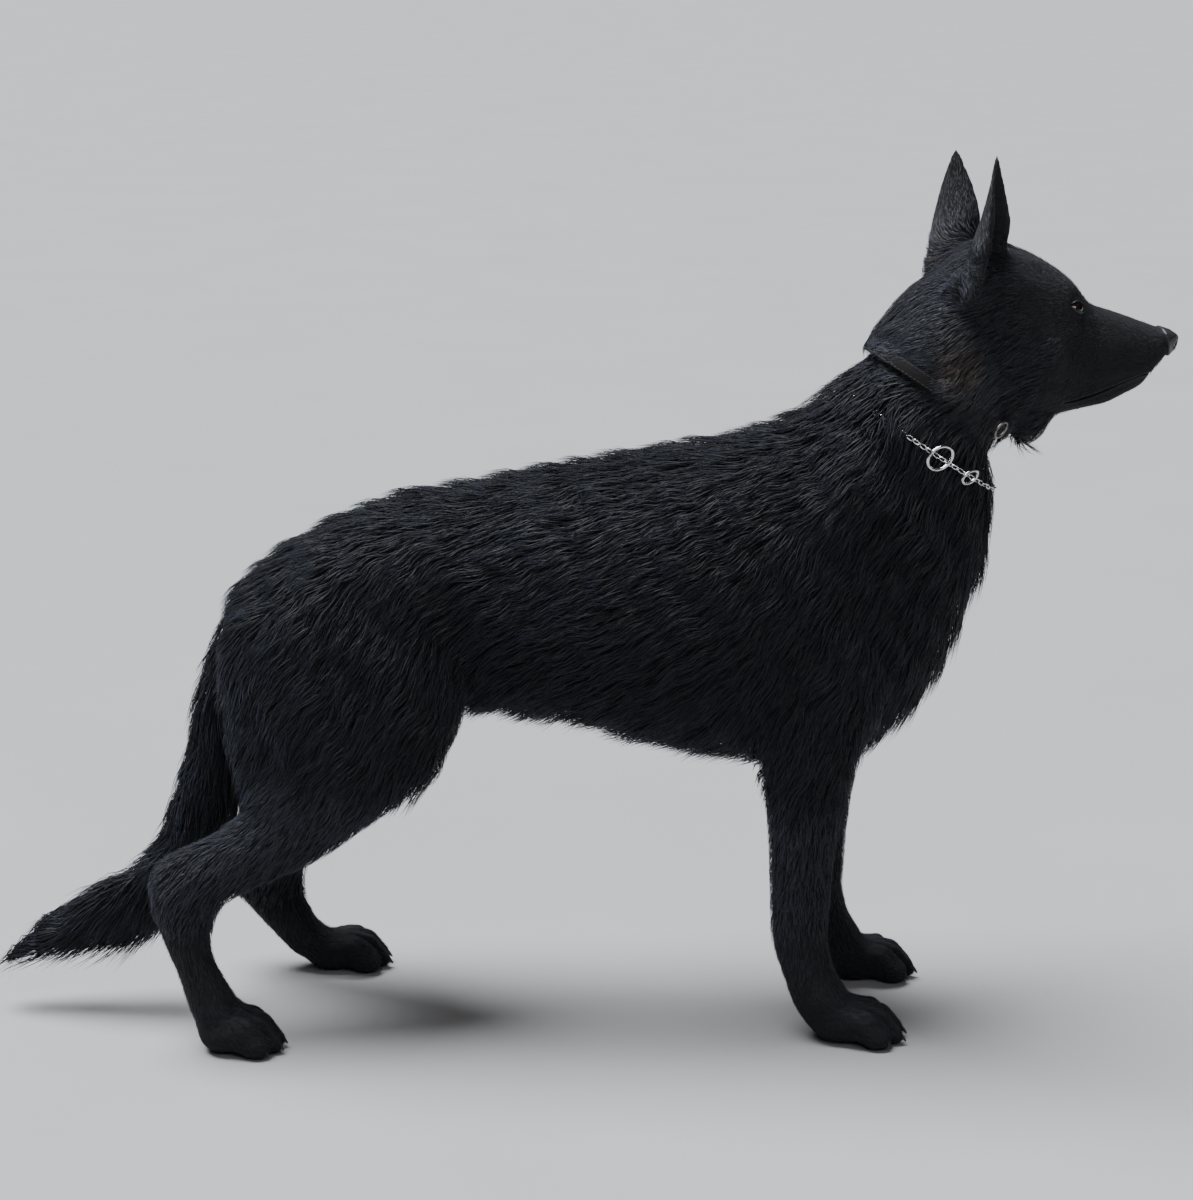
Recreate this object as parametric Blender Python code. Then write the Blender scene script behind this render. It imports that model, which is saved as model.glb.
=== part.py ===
"""A black shepherd dog in a show stance, life size, as a still museum model with its two collars.

Metres, +Z up. The dog faces +X, the floor is z = 0 and the dog's middle plane is y = 0.
Right is -Y and left is +Y. Every solid reaches to the tips of the coat.

The flesh is lofted from named cross-sections, joined by a voxel remesh, and parted with thin cuts
into the pieces that a person would name. Ears, eyes, nose, claws and collars sit in carved seats.
"""

import math

import bmesh
import bpy
from mathutils import Matrix, Vector
from mathutils.bvhtree import BVHTree

MM = 0.001
GAP = 0.0004  # air between neighbouring pieces

# Driving dimensions, in metres.
VOXEL = 0.004  # grain of the joined flesh
FORE_SPREAD = 0.080  # middle plane to the centre of a front foot
HIND_SPREAD = 0.108  # middle plane to the centre of a hind foot
LEFT_FORE_LEAD = 0.028  # how far the left front foot stands ahead of the right one
HEAD_TURN = math.radians(10)  # the head looks a little to the dog's left
NECK_PIVOT = Vector((0.300, 0.0, 0.650))
NECK_AXIS = Vector((0.55, 0.0, 0.835)).normalized()
TURN_START, TURN_LENGTH = -0.110, 0.150  # stretch of the neck that takes up the turn
EYE_RADIUS = 0.0112
EYE_CENTRE = Vector((0.4555, 0.0300, 0.7190))
EAR_BOW = 0.008  # how far the ear bellies forward of a straight line
LEFT_EAR_BACK = 0.005  # the left ear is laid back by this much
STRAP_PLACE = 0.010  # where the flat collar lies along the neck, from the pivot
STRAP_WIDTH, STRAP_THICKNESS, STRAP_DEPTH = 0.013, 0.003, 0.006
CHAIN_PLACE = -0.040  # where the chain collar lies along the neck
CHAIN_RADIUS = 0.0030
RING_RADIUS, RING_WIRE = 0.0118, 0.0016
FLESH_FACES = 2350  # faces left on the flesh once it is thinned
DETAIL_WEIGHT = 0.0004  # how strongly the thinning spares the head and the feet
# The closed lips in side view, from ahead of the nose back to the throat, as (x, z) in millimetres.
MOUTH_LINE = [
    (640, 662),
    (556, 652.5),
    (535, 650.5),
    (510, 641.5),
    (488, 633.5),
    (465, 628),
    (452, 626),
    (450, 560),
]

SLOTS = {
    "coat": ((0.012, 0.012, 0.014), 0.55, 0.0),
    "nose": ((0.016, 0.016, 0.018), 0.35, 0.0),
    "eye": ((0.030, 0.014, 0.007), 0.05, 0.0),
    "claw": ((0.035, 0.032, 0.030), 0.35, 0.0),
    "strap": ((0.020, 0.015, 0.012), 0.55, 0.0),
    "steel": ((0.640, 0.640, 0.650), 0.22, 1.0),
}


# ---------------------------------------------------------------- small tools


def clear_scene():
    for thing in list(bpy.data.objects):
        bpy.data.objects.remove(thing)


def material(slot):
    """The Principled material of one slot, made once."""
    found = bpy.data.materials.get(slot)
    if found:
        return found
    colour, roughness, metallic = SLOTS[slot]
    made = bpy.data.materials.new(slot)
    made.use_nodes = True
    shader = made.node_tree.nodes["Principled BSDF"]
    shader.inputs["Base Color"].default_value = (*colour, 1.0)
    shader.inputs["Roughness"].default_value = roughness
    shader.inputs["Metallic"].default_value = metallic
    return made


def new_object(name, mesh_maker, slot):
    """An object whose mesh is what mesh_maker leaves in a fresh bmesh."""
    bm = bmesh.new()
    mesh_maker(bm)
    bmesh.ops.recalc_face_normals(bm, faces=bm.faces)
    mesh = bpy.data.meshes.new(name)
    bm.to_mesh(mesh)
    bm.free()
    return object_of(name, mesh, slot)


def object_of(name, mesh, slot):
    made = bpy.data.objects.new(name, mesh)
    bpy.context.scene.collection.objects.link(made)
    mesh.materials.clear()
    mesh.materials.append(material(slot))
    mesh.shade_smooth()
    return made


def settle(thing):
    """Turns an object's modifiers into its mesh."""
    graph = bpy.context.evaluated_depsgraph_get()
    mesh = bpy.data.meshes.new_from_object(thing.evaluated_get(graph))
    thing.modifiers.clear()
    thing.data = mesh
    return thing


def joined(name, things, slot="coat"):
    """One object that holds the meshes of several, which are removed."""
    bm = bmesh.new()
    for thing in things:
        bm.from_mesh(thing.data)
        bpy.data.objects.remove(thing)
    mesh = bpy.data.meshes.new(name)
    bm.to_mesh(mesh)
    bm.free()
    return object_of(name, mesh, slot)


def ease(t):
    t = min(1.0, max(0.0, t))
    return t * t * (3 - 2 * t)


def turned(point):
    """A point of the straight dog, where the turn of the head takes it."""
    along = (point - NECK_PIVOT).dot(NECK_AXIS)
    angle = HEAD_TURN * ease((along - TURN_START) / TURN_LENGTH)
    return Matrix.Rotation(angle, 3, "Z") @ (point - NECK_PIVOT) + NECK_PIVOT


def turn(thing):
    for vertex in thing.data.vertices:
        vertex.co = turned(vertex.co)


# ---------------------------------------------------------------- lofting


class Section:
    """One cross-section of a limb or body: two outline points in side view, as (x, z) in millimetres,
    the half width, the sideways place of its centre, how square it is (2 is an ellipse) and how far
    its widest place lies towards the first point (+) or the second (-)."""

    def __init__(self, first, second, half_width, centre=0.0, square=2.2, lift=0.0):
        self.row = (*first, *second, half_width, centre, square, lift)


def through(rows, places, at):
    """A smooth curve through rows, each at its own place along the curve, read at one place."""
    last = len(rows) - 1
    i = max(k for k in range(last) if places[k] <= at or k == 0)

    def slope(k, column):
        low, high = max(k - 1, 0), min(k + 1, last)
        return (rows[high][column] - rows[low][column]) / (places[high] - places[low])

    span = places[i + 1] - places[i]
    t = (at - places[i]) / span
    value = []
    for column in range(len(rows[0])):
        a, b = rows[i][column], rows[i + 1][column]
        value.append(
            (2 * t**3 - 3 * t**2 + 1) * a
            + (t**3 - 2 * t**2 + t) * span * slope(i, column)
            + (3 * t**2 - 2 * t**3) * b
            + (t**3 - t**2) * span * slope(i + 1, column)
        )
    return value


def ring_point(row, turn_share):
    """The point of one cross-section at a share of a full turn, in metres."""
    x1, z1, x2, z2, half_width, centre, square, lift = row
    angle = math.tau * turn_share
    power = 2.0 / max(square, 1.2)
    up = math.copysign(abs(math.sin(angle)) ** power, math.sin(angle))
    out = math.copysign(abs(math.cos(angle)) ** power, math.cos(angle))
    share = 0.5 + 0.5 * (up + lift * (1 - up * up))
    return Vector((x2 + (x1 - x2) * share, centre + half_width * out, z2 + (z1 - z2) * share)) * MM


def skin(name, rings, slot, closed=False):
    """A closed skin bridged through rings of points. closed joins the last ring to the first."""

    def ring(bm, points):
        circle = bmesh.ops.create_circle(bm, cap_ends=False, segments=len(points), radius=1.0)["verts"]
        for vertex, point in zip(circle, points):
            vertex.co = point
        return list({edge for vertex in circle for edge in vertex.link_edges})

    def make(bm):
        hoops = [ring(bm, points) for points in rings]
        following = hoops[1:] + (hoops[:1] if closed else [])
        for near, far in zip(hoops, following):
            bmesh.ops.bridge_loops(bm, edges=near + far)
        if not closed:
            bmesh.ops.contextual_create(bm, geom=hoops[0])
            bmesh.ops.contextual_create(bm, geom=hoops[-1])

    return new_object(name, make, slot)


def loft(name, sections, steps=4, sides=28, side=1, slot="coat"):
    """A closed skin through cross-sections. side = -1 mirrors it to the right."""
    rows = [section.row for section in sections]
    places = [0.0]
    for a, b in zip(rows, rows[1:]):
        middle = Vector(((a[0] + a[2] - b[0] - b[2]) / 2, (a[1] + a[3] - b[1] - b[3]) / 2))
        places.append(places[-1] + max(middle.length, 2.0))
    stops = []
    for k in range(len(rows) - 1):
        stops += [places[k] + (places[k + 1] - places[k]) * s / steps for s in range(steps)]
    stops.append(places[-1])
    mirror = Vector((1, side, 1))
    rings = []
    for stop in stops:
        row = through(rows, places, stop)
        rings.append([ring_point(row, k / sides) * mirror for k in range(sides)])
    return skin(name, rings, slot)


def egg(name, centre, radii, tilt=(0, 0, 0), slot="coat", fine=16):
    """An ellipsoid. Centre and radii in millimetres, tilt in degrees about X, Y and Z."""

    def make(bm):
        bmesh.ops.create_uvsphere(bm, u_segments=fine, v_segments=fine // 2 + 2, radius=1.0)
        bmesh.ops.scale(bm, vec=Vector(radii) * MM, verts=bm.verts)
        for degrees, axis in zip(tilt, "XYZ"):
            turned_by = Matrix.Rotation(math.radians(degrees), 3, axis)
            bmesh.ops.rotate(bm, verts=bm.verts, matrix=turned_by)
        bmesh.ops.translate(bm, verts=bm.verts, vec=Vector(centre) * MM)

    return new_object(name, make, slot)


# ---------------------------------------------------------------- the flesh


def trunk_and_neck():
    """From the rump forward along the back, then up the neck into the skull."""
    return [
        loft(
            "trunk",
            [
                Section((-372, 425), (-345, 385), 38),
                Section((-350, 455), (-318, 362), 66),
                Section((-300, 494), (-282, 345), 84),
                Section((-250, 519), (-240, 336), 90),
                Section((-190, 541), (-180, 328), 86, lift=0.05),
                Section((-125, 552), (-118, 320), 81, lift=0.05),
                Section((-60, 566), (-58, 315), 88, square=2.3),
                Section((0, 576), (0, 305), 97, square=2.3),
                Section((60, 586), (56, 287), 103, square=2.3),
                Section((110, 596), (110, 276), 105, square=2.3),
                Section((155, 605), (165, 268), 104, square=2.2),
                Section((196, 625), (222, 262), 100, square=2.1, lift=-0.1),
                Section((232, 652), (290, 296), 93, square=2.1, lift=-0.15),
                Section((258, 684), (338, 352), 87, square=2.1, lift=-0.1),
                Section((272, 712), (366, 418), 81, square=2.1),
                Section((287, 735), (388, 482), 76, square=2.1),
                Section((302, 747), (394, 522), 71, square=2.1),
                Section((318, 752), (388, 560), 67, square=2.1),
                Section((337, 762), (392, 592), 62, square=2.1),
                Section((358, 764), (400, 620), 52, square=2.1),
            ],
            sides=36,
        ),
        egg("rib_spring_right", (40, -36, 440), (150, 67, 100)),
        egg("rib_spring_left", (40, 36, 440), (150, 67, 100)),
        egg("chest_ruff", (352, 0, 480), (34, 50, 60), tilt=(0, 12, 0)),
        egg("prosternum", (316, 0, 395), (36, 60, 56), tilt=(0, 20, 0)),
    ]


def head():
    """Skull and muzzle, lower jaw, cheeks, brows and the ruff under the jaw."""
    skull = loft(
        "skull",
        [
            Section((310, 738), (330, 610), 50),
            Section((331, 760), (345, 600), 58),
            Section((352, 779), (366, 596), 63, square=2.3),
            Section((380, 787), (388, 598), 65, square=2.35),
            Section((405, 781), (408, 604), 63, square=2.4),
            Section((426, 771), (428, 610), 58.5, square=2.4),
            Section((443, 761), (446, 618), 52, square=2.4),
            Section((458, 750), (461, 623), 44.5, square=2.3),
            Section((470, 738), (474, 628), 37, square=2.3),
            Section((481, 724), (488, 632), 32.0, square=2.4, lift=-0.25),
            Section((496, 717), (505, 638), 29.0, square=2.5, lift=-0.3),
            Section((515, 710), (522, 643), 27.0, square=2.5, lift=-0.3),
            Section((536, 703), (540, 649), 25.0, square=2.5, lift=-0.25),
            Section((551, 697), (553, 655), 22.0, square=2.4, lift=-0.1),
            Section((562, 694), (562, 663), 17.0, square=2.3, lift=0.3),
            Section((571, 690), (570, 671), 12.5, square=2.2, lift=0.3),
            Section((576, 684), (575, 677), 6.0),
        ],
        sides=32,
    )
    jaw = loft(
        "jaw",
        [
            Section((400, 655), (412, 603), 38),
            Section((430, 650), (437, 610), 35),
            Section((455, 645), (458, 614.5), 29),
            Section((475, 642), (477, 614.5), 24),
            Section((495, 645), (497, 619), 20.5),
            Section((515, 650), (518, 627), 18),
            Section((532, 655), (535, 635), 15.5),
            Section((543, 657), (546, 643), 11),
        ],
    )
    pieces = [skull, jaw]
    for side in (-1, 1):
        pieces += [
            egg("cheek", (417, side * 40, 684), (38, 25, 38), tilt=(0, 0, side * 12)),
            egg("brow", (452, side * 23, 740), (17, 15, 10), tilt=(0, 35, 0)),
            egg("ear_root", (354, side * 43, 745), (28, 19, 32), tilt=(side * -18, 0, 0)),
            egg("neck_ruff", (372, side * 42, 650), (40, 32, 66), tilt=(0, 14, 0)),
        ]
    pieces.append(egg("throat_ruff", (421, 0, 616), (28, 34, 34)))
    return pieces


def forequarter(side, lead):
    """Shoulder, upper arm and leg down to the pastern, on one side. lead shifts the leg forward."""
    y = FORE_SPREAD / MM
    shoulder_lead = lead * 0.5
    legs = [
        Section((300 + shoulder_lead, 415), (180 + shoulder_lead, 420), 34, 56),
        Section((286 + shoulder_lead, 355), (160 + shoulder_lead, 350), 38, 64),
        Section((266 + lead * 0.8, 306), (158 + lead * 0.8, 296), 33, 72),
        Section((248 + lead, 258), (164 + lead, 250), 29.5, 77),
        Section((239 + lead, 215), (168 + lead, 208), 27.5, 79),
        Section((233 + lead, 171), (170 + lead, 165), 26, y),
        Section((231 + lead, 130), (171 + lead, 124), 26, y, lift=0.1),
        Section((229 + lead, 103), (174 + lead, 96), 25.5, y, lift=0.1),
        Section((236 + lead, 76), (184 + lead, 66), 26, y),
        Section((249 + lead, 52), (195 + lead, 36), 30, y + 1),
        Section((258 + lead, 34), (206 + lead, 16), 30, y + 1),
    ]
    return [
        loft("foreleg", legs, side=side),
        egg("blade", (228, side * 58, 515), (56, 38, 112), tilt=(0, 24, 0)),
        egg("arm_muscle", (238, side * 66, 380), (58, 38, 66), tilt=(0, -30, 0)),
        egg("forearm_muscle", (212 + lead, side * 82, 262), (34, 26, 52)),
        egg("wrist", (202 + lead, side * 80, 112), (28, 26.5, 24)),
    ]


def hindquarter_right():
    """The right hind leg, set back with its rear pastern near upright."""
    y = HIND_SPREAD / MM
    legs = [
        Section((-185, 470), (-368, 425), 46, 44),
        Section((-132, 400), (-372, 372), 50, 57, lift=-0.1),
        Section((-124, 345), (-366, 325), 49, 66, lift=-0.1),
        Section((-140, 304), (-358, 285), 44, 72),
        Section((-170, 264), (-350, 256), 38, 78),
        Section((-214, 228), (-347, 243), 33, 84),
        Section((-262, 194), (-358, 230), 28, 90),
        Section((-305, 174), (-382, 216), 24.5, 96),
        Section((-342, 159), (-412, 205), 23, 101),
        Section((-366, 146), (-437, 187), 23, 105, lift=0.1),
        Section((-376, 124), (-438, 152), 22, 107),
        Section((-376, 99), (-425, 110), 21.5, y),
        Section((-366, 74), (-413, 78), 22.5, y),
        Section((-354, 52), (-402, 42), 27, y),
        Section((-342, 36), (-392, 18), 28, y),
    ]
    return [
        loft("hind_leg", legs, side=-1, steps=3),
        egg("haunch_muscle", (-268, -64, 372), (84, 44, 92), tilt=(0, -10, 0)),
        egg("knee", (-178, -74, 292), (34, 36, 38)),
    ]


def hindquarter_left():
    """The left hind leg, bent further, with its foot well under the body."""
    y = HIND_SPREAD / MM
    legs = [
        Section((-185, 470), (-368, 425), 46, 44),
        Section((-128, 395), (-368, 368), 50, 57, lift=-0.1),
        Section((-122, 340), (-358, 315), 49, 66, lift=-0.1),
        Section((-136, 298), (-346, 268), 44, 72),
        Section((-164, 254), (-336, 232), 38, 80),
        Section((-206, 212), (-330, 212), 33, 88),
        Section((-250, 168), (-340, 194), 28, 95),
        Section((-283, 138), (-362, 176), 25, 101),
        Section((-302, 116), (-388, 158), 23.5, 105),
        Section((-306, 98), (-404, 130), 22.5, 107, lift=0.1),
        Section((-306, 82), (-388, 96), 22, y),
        Section((-300, 64), (-362, 62), 21.5, y),
        Section((-286, 46), (-336, 34), 24, y),
        Section((-268, 34), (-318, 15), 28, y),
    ]
    return [
        loft("hind_leg", legs, side=1, steps=3),
        egg("haunch_muscle", (-262, 64, 366), (84, 44, 92), tilt=(0, -10, 0)),
        egg("knee", (-168, 74, 286), (34, 36, 38)),
    ]


class Foot:
    """One foot: where its pad sits, which way it points and how long it is, in millimetres."""

    def __init__(self, heel_x, centre_y, splay, length):
        self.heel = Vector((heel_x, centre_y, -3))
        self.splay = math.radians(splay)
        self.size = length / 96.0

    def place(self, ahead, out, up):
        """A point of the foot: ahead of the heel, out from the foot's own middle line, above the floor."""
        side = math.copysign(1, self.heel.y)
        flat = Matrix.Rotation(self.splay * side, 3, "Z") @ Vector((ahead, out * side, 0))
        return self.heel + (flat * self.size) + Vector((0, 0, up))

    def heading(self):
        return math.degrees(self.splay) * math.copysign(1, self.heel.y)


FEET = {
    "forepaw_right": Foot(208, -FORE_SPREAD / MM, 8, 97),
    "forepaw_left": Foot(208 + LEFT_FORE_LEAD / MM, FORE_SPREAD / MM, 6, 97),
    "hindpaw_right": Foot(-397, -HIND_SPREAD / MM, 6, 86),
    "hindpaw_left": Foot(-313, HIND_SPREAD / MM, 6, 92),
}
# The four toes of a foot: how far the tip is ahead, how far out, and the toe's own slant in degrees.
TOES = {
    "inner": (76, -26, -10),
    "middle_inner": (89, -9.5, -3),
    "middle_outer": (89, 9.5, 3),
    "outer": (76, 26, 10),
}
TOE_RADIUS = 11.5


def paw(name):
    """Pad, knuckles and four toes."""
    foot = FEET[name]
    pieces = [
        egg("pad", foot.place(36, 0, 21), (34 * foot.size, 31, 21), tilt=(0, 0, foot.heading())),
        egg("knuckles", foot.place(52, 0, 27), (25 * foot.size, 33, 20), tilt=(0, 12, foot.heading())),
    ]
    for ahead, out, slant in TOES.values():
        way = foot.heading() + slant * math.copysign(1, foot.heel.y)
        knuckle = foot.place(ahead - 21, out * 0.93, 27)
        tip = foot.place(ahead - 8, out, 15)
        pieces.append(egg("toe_knuckle", knuckle, (20, TOE_RADIUS, 15), tilt=(0, 24, way)))
        pieces.append(egg("toe_tip", tip, (17, TOE_RADIUS + 0.5, 13.5), tilt=(0, 14, way)))
    return pieces


def flesh():
    """All the flesh but the ears and the tail, as one closed mesh that stands flat on the floor."""
    pieces = trunk_and_neck() + head()
    pieces += forequarter(-1, 0.0) + forequarter(1, LEFT_FORE_LEAD / MM)
    pieces += hindquarter_right() + hindquarter_left()
    for name in FEET:
        pieces += paw(name)
    body = joined("flesh", pieces)
    remesh = body.modifiers.new("one_skin", "REMESH")
    remesh.mode = "VOXEL"
    remesh.voxel_size = VOXEL
    remesh.use_smooth_shade = True
    settle(body)
    soften(body)
    thin(body)
    stand_flat(body)
    return body


def soften(body):
    """Rounds the joins: strongly on the trunk and thighs, lightly on the face and feet."""
    for iterations, keeps in ((14, lambda p: p.z > 0.20 and p.x < 0.34), (5, lambda p: True)):
        group = body.vertex_groups.new(name="soft")
        chosen = [v.index for v in body.data.vertices if keeps(v.co)]
        group.add(chosen, 1.0, "REPLACE")
        smooth = body.modifiers.new("soften", "SMOOTH")
        smooth.factor = 0.5
        smooth.iterations = iterations
        smooth.vertex_group = group.name
        settle(body)
        body.vertex_groups.clear()


def thin(body):
    """Brings the face count down, sparing the head and the feet."""
    group = body.vertex_groups.new(name="detail")
    for vertex in body.data.vertices:
        p = vertex.co
        on_head = ease((p.x - 0.36) / 0.06) * ease((p.z - 0.58) / 0.03)
        on_foot = ease((0.075 - p.z) / 0.03)
        group.add([vertex.index], 1.0 - max(on_head * 0.9, on_foot * 0.75), "REPLACE")
    body.data.calc_loop_triangles()
    fewer = body.modifiers.new("thin", "DECIMATE")
    fewer.ratio = FLESH_FACES / len(body.data.loop_triangles)
    fewer.vertex_group = group.name
    fewer.vertex_group_factor = DETAIL_WEIGHT
    settle(body)
    body.vertex_groups.clear()


def stand_flat(body):
    """Cuts the soles off level at the floor, so that each foot rests on flats."""
    bm = bmesh.new()
    bm.from_mesh(body.data)
    sole = bmesh.ops.bisect_plane(
        bm,
        geom=bm.verts[:] + bm.edges[:] + bm.faces[:],
        plane_co=(0, 0, 0),
        plane_no=(0, 0, -1),
        clear_outer=True,
    )["geom_cut"]
    rims = [e for e in sole if isinstance(e, bmesh.types.BMEdge)]
    bmesh.ops.holes_fill(bm, edges=rims, sides=0)
    bmesh.ops.triangulate(bm, faces=bm.faces)
    bmesh.ops.recalc_face_normals(bm, faces=bm.faces)
    bm.to_mesh(body.data)
    bm.free()


# ---------------------------------------------------------------- cutting


def carve(thing, cutter):
    """Takes a cutter's volume out of an object."""
    cut = thing.modifiers.new("carve", "BOOLEAN")
    cut.operation = "DIFFERENCE"
    cut.solver = "EXACT"
    cut.object = cutter
    settle(thing)
    bpy.data.objects.remove(cutter)
    bm = bmesh.new()
    bm.from_mesh(thing.data)
    bmesh.ops.remove_doubles(bm, verts=bm.verts, dist=0.00002)
    bmesh.ops.dissolve_degenerate(bm, edges=bm.edges, dist=0.00002)
    bmesh.ops.triangulate(bm, faces=bm.faces)
    bm.to_mesh(thing.data)
    bm.free()
    return thing


def lumps(thing):
    """The separate closed pieces of an object, each as its own object. Crumbs are dropped."""
    bm = bmesh.new()
    bm.from_mesh(thing.data)
    bm.faces.ensure_lookup_table()
    owner = {}
    count = 0
    for first in bm.faces:
        if first in owner:
            continue
        reach = [first]
        owner[first] = count
        while reach:
            for edge in reach.pop().edges:
                for face in edge.link_faces:
                    if face not in owner:
                        owner[face] = count
                        reach.append(face)
        count += 1
    pieces = []
    for number in range(count):
        own = bmesh.new()
        own.from_mesh(thing.data)
        own.faces.ensure_lookup_table()
        others = [own.faces[face.index] for face, k in owner.items() if k != number]
        bmesh.ops.delete(own, geom=others, context="FACES")
        if own.calc_volume(signed=False) > 1e-8:
            mesh = bpy.data.meshes.new("piece")
            own.to_mesh(mesh)
            pieces.append(object_of("piece", mesh, "coat"))
        own.free()
    bm.free()
    bpy.data.objects.remove(thing)
    return pieces


def middle(thing):
    return sum((v.co for v in thing.data.vertices), Vector()) / len(thing.data.vertices)


def part(thing, cutter, names, way):
    """Cuts an object in two and names the pieces in their order along a direction."""
    carve(thing, cutter)
    pieces = lumps(thing)
    if len(pieces) != 2:
        raise RuntimeError(f"{names}: {len(pieces)} pieces")
    pieces.sort(key=lambda piece: middle(piece).dot(Vector(way)))
    for piece, name in zip(pieces, names):
        piece.name = name
    return pieces


def sheet(line, left=300, right=-300):
    """A thin cutter: a line of (x, z) points in millimetres, drawn out sideways between two y places."""
    points = [Vector((x, 0, z)) * MM for x, z in line]
    normals = []
    for k in range(len(points)):
        along = (points[min(k + 1, len(points) - 1)] - points[max(k - 1, 0)]).normalized()
        normals.append(Vector((-along.z, 0, along.x)) * GAP / 2)
    outline = [p + n for p, n in zip(points, normals)]
    outline += [p - n for p, n in zip(points[::-1], normals[::-1])]
    rings = [[p + Vector((0, y * MM, 0)) for p in outline] for y in (right, left)]
    return skin("cutter", rings, "coat")


def level_sheet(height, x_range, y_range, tip=0.0):
    """A thin cutter across one leg at a height in millimetres, tipped forward by some degrees."""

    def make(bm):
        bmesh.ops.create_cube(bm, size=1.0)
        size = Vector((x_range[1] - x_range[0], y_range[1] - y_range[0], GAP / MM))
        bmesh.ops.scale(bm, vec=size * MM, verts=bm.verts)
        bmesh.ops.rotate(bm, verts=bm.verts, matrix=Matrix.Rotation(math.radians(tip), 3, "Y"))
        centre = Vector((sum(x_range) / 2, sum(y_range) / 2, height)) * MM
        bmesh.ops.translate(bm, verts=bm.verts, vec=centre)

    return new_object("cutter", make, "coat")


def cup(centre, radii, tilt):
    """A thin egg-shaped shell, to part a shoulder or a thigh from the trunk."""
    outer = egg("cutter", centre, radii, tilt, fine=10)
    inner = egg("core", centre, [r - GAP / MM for r in radii], tilt, fine=10)
    for polygon in inner.data.polygons:
        polygon.flip()
    return joined("cutter", [outer, inner])


def swollen(thing, amount):
    """A copy of an object, a little larger all round."""
    copy = object_of("cutter", thing.data.copy(), "coat")
    normals = [v.normal.copy() for v in copy.data.vertices]
    for vertex, normal in zip(copy.data.vertices, normals):
        vertex.co += normal * amount
    return copy


# ---------------------------------------------------------------- what sits in the flesh


def ear(side):
    """A pricked ear: a tapering half-round shell, open forward and outward."""
    base = Vector((361, 46, 728)) * MM
    tip = Vector((368, 58, 870)) * MM
    if side > 0:
        base.x -= LEFT_EAR_BACK
        tip -= Vector((LEFT_EAR_BACK, 0, LEFT_EAR_BACK))
    axis = (tip - base).normalized()
    forward = Vector((math.cos(math.radians(38)), math.sin(math.radians(38)), 0))
    opening = (forward - axis * forward.dot(axis)).normalized()
    across = axis.cross(opening)
    # Share of the height, radius, depth of the cup against its radius, thickness; millimetres.
    shape = [
        (0.00, 28.0, 0.95, 4.5),
        (0.18, 29.0, 0.95, 4.5),
        (0.36, 27.5, 0.90, 4.0),
        (0.54, 23.5, 0.80, 3.6),
        (0.70, 18.5, 0.70, 3.2),
        (0.84, 12.5, 0.60, 2.8),
        (0.94, 7.0, 0.55, 2.4),
        (1.00, 3.0, 0.55, 2.0),
    ]
    rings = []
    for share, radius, depth, thickness in shape:
        centre = base.lerp(tip, share) + opening * EAR_BOW * math.sin(math.pi * share)
        outer, inner = [], []
        for k in range(7):
            angle = math.radians(-104 + 208 * k / 6)
            spoke = across * math.sin(angle) - opening * math.cos(angle) * depth
            lip = 0.35 if k in (0, 6) else 1.0
            outer.append(centre + spoke * radius * MM)
            inner.append(centre + spoke * (radius - thickness * lip) * MM)
        rings.append([Vector((p.x, p.y * side, p.z)) for p in outer + inner[::-1]])
    return skin("ear", rings, "coat")


def eye(side):
    centre = EYE_CENTRE * Vector((1, side, 1)) / MM
    return egg("eye", centre, [EYE_RADIUS / MM] * 3, slot="eye", fine=10)


def tail():
    """The brush, hanging from the croup and swept back along the floor side."""
    return loft(
        "tail",
        [
            Section((-352, 450), (-322, 405), 24),
            Section((-372, 420), (-338, 380), 29),
            Section((-391, 372), (-350, 345), 32),
            Section((-404, 330), (-350, 305), 33),
            Section((-416, 275), (-350, 255), 33),
            Section((-432, 222), (-366, 192), 32),
            Section((-447, 180), (-392, 138), 31),
            Section((-468, 160), (-430, 96), 30),
            Section((-492, 147), (-470, 77), 28),
            Section((-519, 131), (-508, 71), 25),
            Section((-546, 112), (-540, 62), 21),
            Section((-572, 88), (-570, 55), 14),
            Section((-592, 64), (-590, 47), 8),
            Section((-603, 50), (-602, 45), 3),
        ],
        sides=12,
        steps=1,
    )


def claw(name, toe):
    """A short hooked claw ahead of one toe."""
    foot = FEET[name]
    ahead, out, slant = TOES[toe]
    side = math.copysign(1, foot.heel.y)
    way = Matrix.Rotation(math.radians(foot.heading() + slant * side), 3, "Z")
    root = foot.place(ahead, out, 15)
    shape = [(-7, 3, 3.8), (2, 1.5, 3.4), (8, -3, 2.4), (11.5, -7.5, 0.9)]
    rings = []
    for reach, drop, radius in shape:
        ring = []
        for k in range(4):
            angle = math.tau * k / 4
            round_claw = Vector((0.35 * math.sin(angle), 0.75 * math.cos(angle), math.sin(angle)))
            ring.append((root + way @ (Vector((reach, 0, drop)) + round_claw * radius)) * MM)
        rings.append(ring)
    return skin(f"claw_{name}_{toe}", rings, "claw")


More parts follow.
